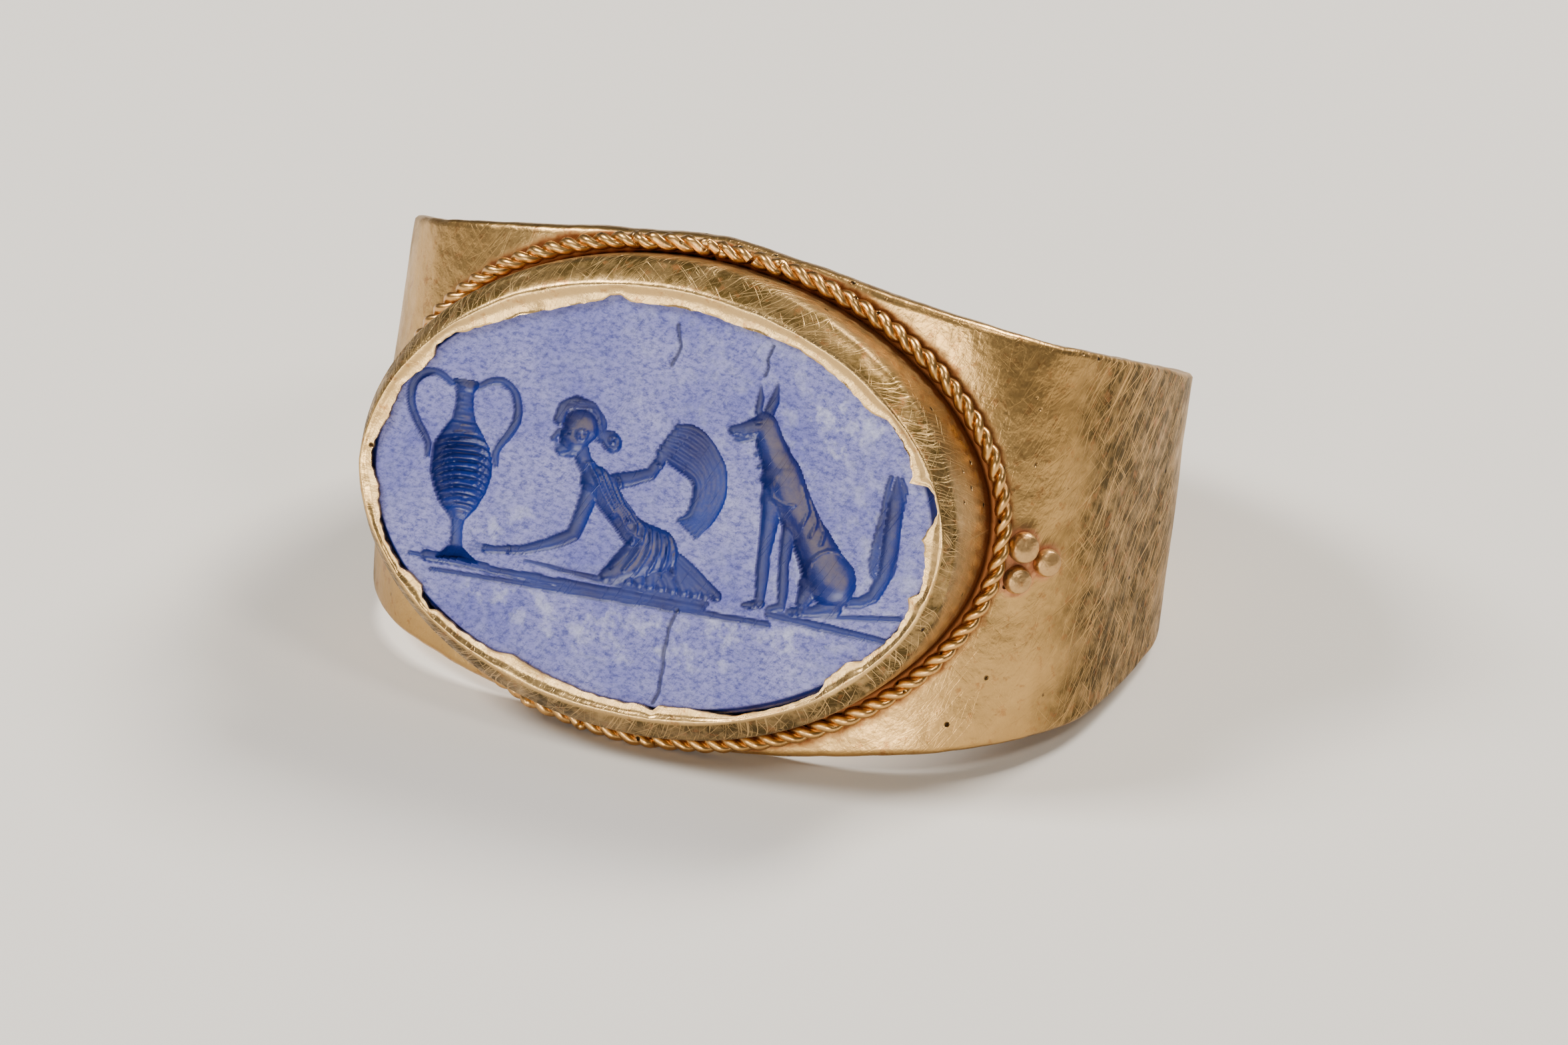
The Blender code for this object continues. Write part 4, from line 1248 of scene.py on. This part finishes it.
def hound(u, v):
    depth = np.maximum.reduce([limb(u, v, points) for points in HOUND])
    fringe = []
    for k in range(11):
        root = (82.6 + 0.34 * k, -15.5 + 2.9 * k)
        fringe.append([root, (root[0] + 4, root[1] + 2.4), (root[0] + 5.4 - 0.3 * k, root[1] + 6.4)])
        fringe.append([root, (root[0] - 2.4, root[1] + 2.6), (root[0] - 3.4 + 0.2 * k, root[1] + 7)])
    for k in range(5):
        fringe.append([(40 + 1.2 * k, 24.5 - 4.1 * k), (36.4 + 1.2 * k, 21.5 - 4.3 * k)])
        fringe.append([(44.5 + 1.7 * k, 27.5 - 3.6 * k), (47.2 + 2 * k, 24.6 - 3.6 * k)])
    depth = np.maximum(depth, strokes(u, v, fringe, 1.15))
    lines = np.maximum(strokes(u, v, HOUND_LINES, 0.7), strokes(u, v, HOUND_EYE, 0.9))
    return depth + HOUND_LINE_DEPTH * lines * (depth > 0.0)


# %% The ground they are on
GROUND_LINES = (
    ((-86, -29.8, 1.1), (-40, -31.8, 1.8), (20, -33.6, 1.9)),
    ((-78, -34, 1), (-20, -34.6, 1.5), (44, -35.4, 1.4)),
    ((-44, -26.3, 0.8), (-10, -29.6, 1.5), (22, -31.7, 1.2)),
    ((44, -32.2, 1.3), (66, -33.6, 1.8), (90, -35.6, 1.4)),
    ((47, -31.4, 0.8), (91, -27, 1.3)),
    ((-80, -29.6, 2.2), (-58, -30.6, 1.8)),
)


def carving(u, v):
    ground = np.maximum.reduce([limb(u, v, points) for points in GROUND_LINES])
    return np.maximum.reduce([jar(u, v), woman(u, v), hound(u, v), ground])


# %% [markdown]
# ## Lapis lazuli
# Lapis is a rock: deep blue lazurite with wisps of white calcite and a few glints of pyrite. Fine
# wear has turned the once polished table a dusty lilac blue, while the protected cuts keep the
# stone's own deep, glossy blue, with brown dust lying in their bottoms; on their flat floors that
# lighter brown is partly painted highlight. The same deep blue laid on the bevel round the table's
# edge is painted shadow under the collar's lip. The mesh stores how deep each point is cut, where
# the bevel's painted shadow lies, and where the pale wisps and cracks run; noise breaks them up.

# %% The lapis material
# Size of the bumps in millimetres, detail and roughness of each noise
LAPIS_NOISE = {
    "cloud": (2.2, 5.0, 0.6), "fleck": (0.12, 6.0, 0.82), "speck": (0.5, 8.0, 0.7),
    "grime": (0.22, 5.0, 0.7),
}
BRUSHED = {"Rotation": (0.0, 0.0, -math.radians(66)), "Scale": (0.55, 1.0, 1.0)}
PALE_PATCHES = {1: 0.3, 2: 0.72}
WORN_FLECKS = {1: 0.45, 2: 0.6, 4: 0.9}
BLOOM_PATCHES = {1: 0.48, 2: 0.66}
BLOOM_EVERYWHERE = 0.1
DEEP_PATCHES = {1: 0.35, 2: 0.65}
DUST_AND_HIGHLIGHT_KEPT = {1: 1.05, 2: 1.6, 4: 0.6}
TABLE_TO_CUT_ROUGHNESS = {3: 0.42, 4: 0.24}
STONE_SCRATCHES = (58, 2.2, 0.045, 0.62)
FLECK_DEPTH = 0.012
STONE_SCRATCH_DEPTH = 0.006


def lapis_material():
    material, tree, shader, in_mm = new_material("worn polished lapis lazuli")
    skin = add(tree, "ShaderNodeAttribute", attribute_name="skin").outputs["Vector"]
    brushed = add(tree, "ShaderNodeMapping", {0: skin, **BRUSHED})
    made = {}
    for label, (size, detail, rough) in LAPIS_NOISE.items():
        made[label] = add(tree, "ShaderNodeTexNoise", {
            "Vector": brushed.outputs[0] if label == "fleck" else in_mm,
            "Scale": 1.0 / size, "Detail": detail, "Roughness": rough,
        }).outputs[0]
    for label in ("bloom", "floor", "cut_and_bevel_shadow", "crack"):
        made[label] = add(tree, "ShaderNodeAttribute", attribute_name=label).outputs["Fac"]
    dust_and_highlight_sum = add(tree, "ShaderNodeMath", {0: made["floor"], 1: made["grime"]}, operation="ADD")
    for label, source, kept in (
        ("pale", made["cloud"], PALE_PATCHES), ("worn", made["fleck"], WORN_FLECKS),
        ("patches", made["speck"], BLOOM_PATCHES), ("deep", made["cloud"], DEEP_PATCHES),
        ("dust_and_highlight", dust_and_highlight_sum.outputs[0], DUST_AND_HIGHLIGHT_KEPT), ("matt", made["cut_and_bevel_shadow"], TABLE_TO_CUT_ROUGHNESS),
    ):
        made[label] = add(tree, "ShaderNodeMapRange", {0: source, **kept}).outputs[0]
    bloom_all = add(tree, "ShaderNodeMath", {0: made["bloom"], 1: BLOOM_EVERYWHERE}, operation="ADD")
    bloomed = add(tree, "ShaderNodeMath", {0: bloom_all.outputs[0], 1: made["patches"]},
                  operation="MULTIPLY")

    table = layered(tree, "#5C5EAA", (
        (made["pale"], "#8A8AC2"), (made["worn"], "#2E3480"), (bloomed.outputs[0], "#C4C8E4"),
    ))
    # In the cuts: deep blue, with a lighter brown on their flat floors that is dust and partly painted
    # highlight
    cut = layered(tree, "#050E55", ((made["deep"], "#0B2676"), (made["dust_and_highlight"], "#6A5E5A")))
    whole = add(tree, "ShaderNodeMix", {0: made["cut_and_bevel_shadow"], MIX_A: table, MIX_B: cut}, data_type="RGBA")
    cracked = add(tree, "ShaderNodeMix",
                  {0: made["crack"], MIX_A: whole.outputs[MIXED], MIX_B: linear("#141B45")},
                  data_type="RGBA")
    tree.links.new(cracked.outputs[MIXED], shader.inputs["Base Color"])

    rough = made["matt"]
    for share, weight in ((made["fleck"], 0.14), (made["dust_and_highlight"], 0.3)):
        rough = add(tree, "ShaderNodeMath", {0: share, 1: weight, 2: rough},
                    operation="MULTIPLY_ADD").outputs[0]
    tree.links.new(rough, shader.inputs["Roughness"])
    fine = add(tree, "ShaderNodeBump", {"Height": made["fleck"], "Distance": FLECK_DEPTH * MM})
    scored = add(tree, "ShaderNodeBump", {
        "Height": scratches(tree, skin, *STONE_SCRATCHES), "Distance": STONE_SCRATCH_DEPTH * MM,
        "Normal": fine.outputs[0],
    }, invert=True)
    tree.links.new(scored.outputs[0], shader.inputs["Normal"])
    shader.inputs["IOR"].default_value = 1.5
    return material


# %% [markdown]
# ## The gem
# The stone is a flat oval slab. A square grid bent to an oval gives even, nearly square faces over
# the whole table, fine enough to carry a cut a tenth of a millimetre wide.

# %% Build the gem
GEM_COLUMNS = 372
GEM_ROWS = 258
CHAMFER = (0.968, 1.0)
CHAMFER_DEPTH = 0.14
DUST_AND_HIGHLIGHT_SLOPES = (0.15, 0.7)   # dust and painted highlight cover floors flatter than the first, none steeper than the second
CRACKS = (
    [(11.5, -35.6), (9, -42), (7.6, -50), (8.2, -57), (5.5, -68)],
    [(40, 58.5), (37.8, 54), (38.4, 51), (37.2, 48)],
    [(5.6, 61), (7.2, 54), (4.4, 47)],
)
WISPS = (
    [(-62, -38), (-40, -39.5), (-12, -41), (30, -42)], [(-48, -43.5), (-20, -45.6), (18, -45)],
    [(-30, -50), (2, -52.5), (28, -50)], [(26, -38.6), (48, -39.4), (62, -37.6)],
    [(-60, -20), (-46, -12)], [(64, 27), (71, 33.5), (78, 38)], [(58, 36), (68, 40)],
)


TABLE_BELOW_TOP = 0.012
TABLE_WAVES = ((0.008, 1.4, 5.0), (0.004, 0.3, 1.0))
HAND_SHAKE = (((0.35, 0.5, 3.0),), ((0.35, 0.5, 9.0),))      # along and across, in hundredths
CRACK_RADIUS = 0.75
CRACK_DEPTH = 0.05
CRACK_WANDER = 3.0
CRACK_DARKNESS = 0.8
CUT_COLOUR_FROM = (0.15, 0.9)
# Painted shadow: shares of the bevel between which it takes the cuts' deep blue, under the collar's lip
BEVEL_SHADOW_FROM = (0.0, 0.3)
DEEP_CUT = 5.0
WISP_RADIUS = 5.0
WISP_WANDER = 4.0
WISP_STRENGTH = 0.42
RIGHT_BLOOM = 0.22
RIGHT_BLOOM_FROM = (-10.0, 70.0)


def soft_lines(u, v, lines, radius):
    """One along the middle of each line, fading to nothing at radius."""
    return strokes(u, v, lines, radius) / radius


def close_slab(mesh, table_length):
    """Carries the rim of the table out, down and under, and closes the back."""
    bm = bmesh.new()
    bm.from_mesh(mesh)
    middle = Vector(in_bezel(0.0, 0.0, 0.0) * MM)
    sink = BEZEL.to_3x3() @ Vector((0.0, 1.0, 0.0))
    bevel = (GEM_HALF_LENGTH / table_length, GEM_EDGE_BEVEL)
    side = (1.0, GEM_THICKNESS - GEM_EDGE_BEVEL)
    for grow, drop in (bevel, side):
        boundary = [edge for edge in bm.edges if edge.is_boundary]
        made = bmesh.ops.extrude_edge_only(bm, edges=boundary)["geom"]
        for vert in (item for item in made if isinstance(item, bmesh.types.BMVert)):
            outwards = vert.co - middle
            outwards -= sink * outwards.dot(sink)
            vert.co += outwards * (grow - 1.0) + sink * drop * MM
    bmesh.ops.contextual_create(bm, geom=[edge for edge in bm.edges if edge.is_boundary])
    bm.to_mesh(mesh)
    bm.free()


def build_gem():
    table_length, table_width = GEM_HALF_LENGTH - GEM_EDGE_BEVEL, GEM_HALF_WIDTH - GEM_EDGE_BEVEL
    s, t = np.meshgrid(np.linspace(-1.0, 1.0, GEM_COLUMNS), np.linspace(-1.0, 1.0, GEM_ROWS))
    u = table_length * s * np.sqrt(1.0 - 0.5 * t * t)
    v = table_width * t * np.sqrt(1.0 - 0.5 * s * s)
    a, b = u / HUNDREDTH, v / HUNDREDTH
    spots = np.stack([u, v, 0 * u], -1)
    shake_a, shake_b = (waves(spots, layers) for layers in HAND_SHAKE)
    cut = carving(a + shake_a, b + shake_b)
    crack = soft_lines(a + CRACK_WANDER * shake_a, b, CRACKS, CRACK_RADIUS)
    depth = cut * HUNDREDTH * CARVING_DEPTH + CRACK_DEPTH * crack + waves(spots, TABLE_WAVES)
    chamfer = smooth_step(np.hypot(u / table_length, v / table_width), *CHAMFER)
    depth = np.maximum(depth, CHAMFER_DEPTH * chamfer)
    mesh = grid_mesh("lapis_gem", in_bezel(u, v, GEM_TABLE - TABLE_BELOW_TOP - depth))

    set_skin(mesh, u, v)
    # Flat floors of deep cuts take brown dust, partly painted highlight
    steepness = np.hypot(*np.gradient(depth)) / (2.0 * table_length / GEM_COLUMNS)
    flat_floor = np.clip(cut / DEEP_CUT, 0.0, 1.0) * (1.0 - smooth_step(steepness, *DUST_AND_HIGHLIGHT_SLOPES))
    # The cuts' colour, and on the bevel round the edge the same dark blue as painted shadow under the lip
    cut_and_bevel_shadow = np.maximum(smooth_step(cut, *CUT_COLOUR_FROM), smooth_step(chamfer, *BEVEL_SHADOW_FROM))
    wisps = soft_lines(a, b + WISP_WANDER * shake_a, WISPS, WISP_RADIUS)
    bloom = WISP_STRENGTH * wisps + RIGHT_BLOOM * smooth_step(a + 0.5 * b, *RIGHT_BLOOM_FROM)
    cracked = CRACK_DARKNESS * smooth_step(crack, 0.1, 0.9)
    for label, values in (("cut_and_bevel_shadow", cut_and_bevel_shadow), ("floor", flat_floor), ("crack", cracked), ("bloom", bloom)):
        set_values(mesh, label, values)
    close_slab(mesh, table_length)
    outward(mesh)
    return show("lapis_gem", mesh, 40)


dress(build_gem(), lapis_material(), "lapis", "gem")

# %% [markdown]
# ## Stage, light and camera
# A plain pale floor and soft boxes. A flat polished face shows only what lies in its mirror
# direction, so two low boxes stand in front, one where the gem's table reflects and one where the
# gold beside it does. Two high boxes light the upper left and the rims, a weak one the shoulder.
# The camera stands off at a long focal length, turned slightly to the ring's right and looking
# down on it.

# %% The floor
FLOOR_HALF_SIZE = 0.13


def build_floor():
    mesh = bpy.data.meshes.new("studio_floor")
    bm = bmesh.new()
    bmesh.ops.create_grid(bm, x_segments=1, y_segments=1, size=FLOOR_HALF_SIZE)
    bm.to_mesh(mesh)
    bm.free()
    floor = bpy.data.objects.new("studio_floor", mesh)
    bpy.context.scene.collection.objects.link(floor)
    material, _, shader, _ = new_material("matt pale paper")
    shader.inputs["Base Color"].default_value = linear("#D9D7D3")
    shader.inputs["Roughness"].default_value = 0.9
    mesh.materials.append(material)


build_floor()

# %% The lights: name, azimuth, elevation, distance, width, height, strength in watts and warmth
LIGHTS = (
    ("high_left_box", -62, 48, 0.24, 0.075, 0.075, 0.7, "#FFFAF3"),
    ("back_box", 150, 52, 0.22, 0.07, 0.07, 0.7, "#FFF7EC"),
    ("right_box", 62, 50, 0.26, 0.05, 0.05, 0.2, "#FFF4E4"),
    ("low_front_box", -22, 7, 0.3, 0.1, 0.06, 0.21, "#FFFCF6"),
    ("gold_box", 10, 6.5, 0.28, 0.1, 0.06, 0.34, "#FFF9EE"),
)
RING_MIDDLE = Vector((0.0, 0.0, 0.006))


def direction(azimuth, elevation):
    a, e = math.radians(azimuth), math.radians(elevation)
    return Vector((math.sin(a) * math.cos(e), -math.cos(a) * math.cos(e), math.sin(e)))


for name, azimuth, elevation, distance, width, height, strength, warmth in LIGHTS:
    box = bpy.data.lights.new(name, "AREA")
    box.shape = "RECTANGLE"
    box.size = width
    box.size_y = height
    box.energy = strength
    box.color = linear(warmth)[:3]
    lamp = bpy.data.objects.new(name, box)
    bpy.context.scene.collection.objects.link(lamp)
    lamp.location = RING_MIDDLE + direction(azimuth, elevation) * distance
    lamp.rotation_euler = direction(azimuth, elevation).to_track_quat("Z", "Y").to_euler()

world = bpy.data.worlds.new("studio")
world.use_nodes = True
world.node_tree.nodes["Background"].inputs["Color"].default_value = linear("#9A9CA2")
world.node_tree.nodes["Background"].inputs["Strength"].default_value = 0.22
bpy.context.scene.world = world

# %% The camera
CAMERA_AZIMUTH = 21.905
CAMERA_ELEVATION = 29.266
CAMERA_ROLL = 0.74
CAMERA_DISTANCE = 357.56
CAMERA_AIM = (0.763, -1.373, 3.219)
CAMERA_LENS = 323.54
SENSOR_WIDTH = 36.0

lens = bpy.data.cameras.new("camera")
lens.lens = CAMERA_LENS
lens.sensor_width = SENSOR_WIDTH
lens.sensor_fit = "HORIZONTAL"
lens.clip_start = 0.01
lens.clip_end = 5.0
camera = bpy.data.objects.new("camera", lens)
bpy.context.scene.collection.objects.link(camera)
towards = direction(CAMERA_AZIMUTH, CAMERA_ELEVATION)
camera.location = (Vector(CAMERA_AIM) + towards * CAMERA_DISTANCE) * MM
look = towards.to_track_quat("Z", "Y").to_matrix() @ Matrix.Rotation(math.radians(CAMERA_ROLL), 3, "Z")
camera.rotation_euler = look.to_euler()
bpy.context.scene.camera = camera
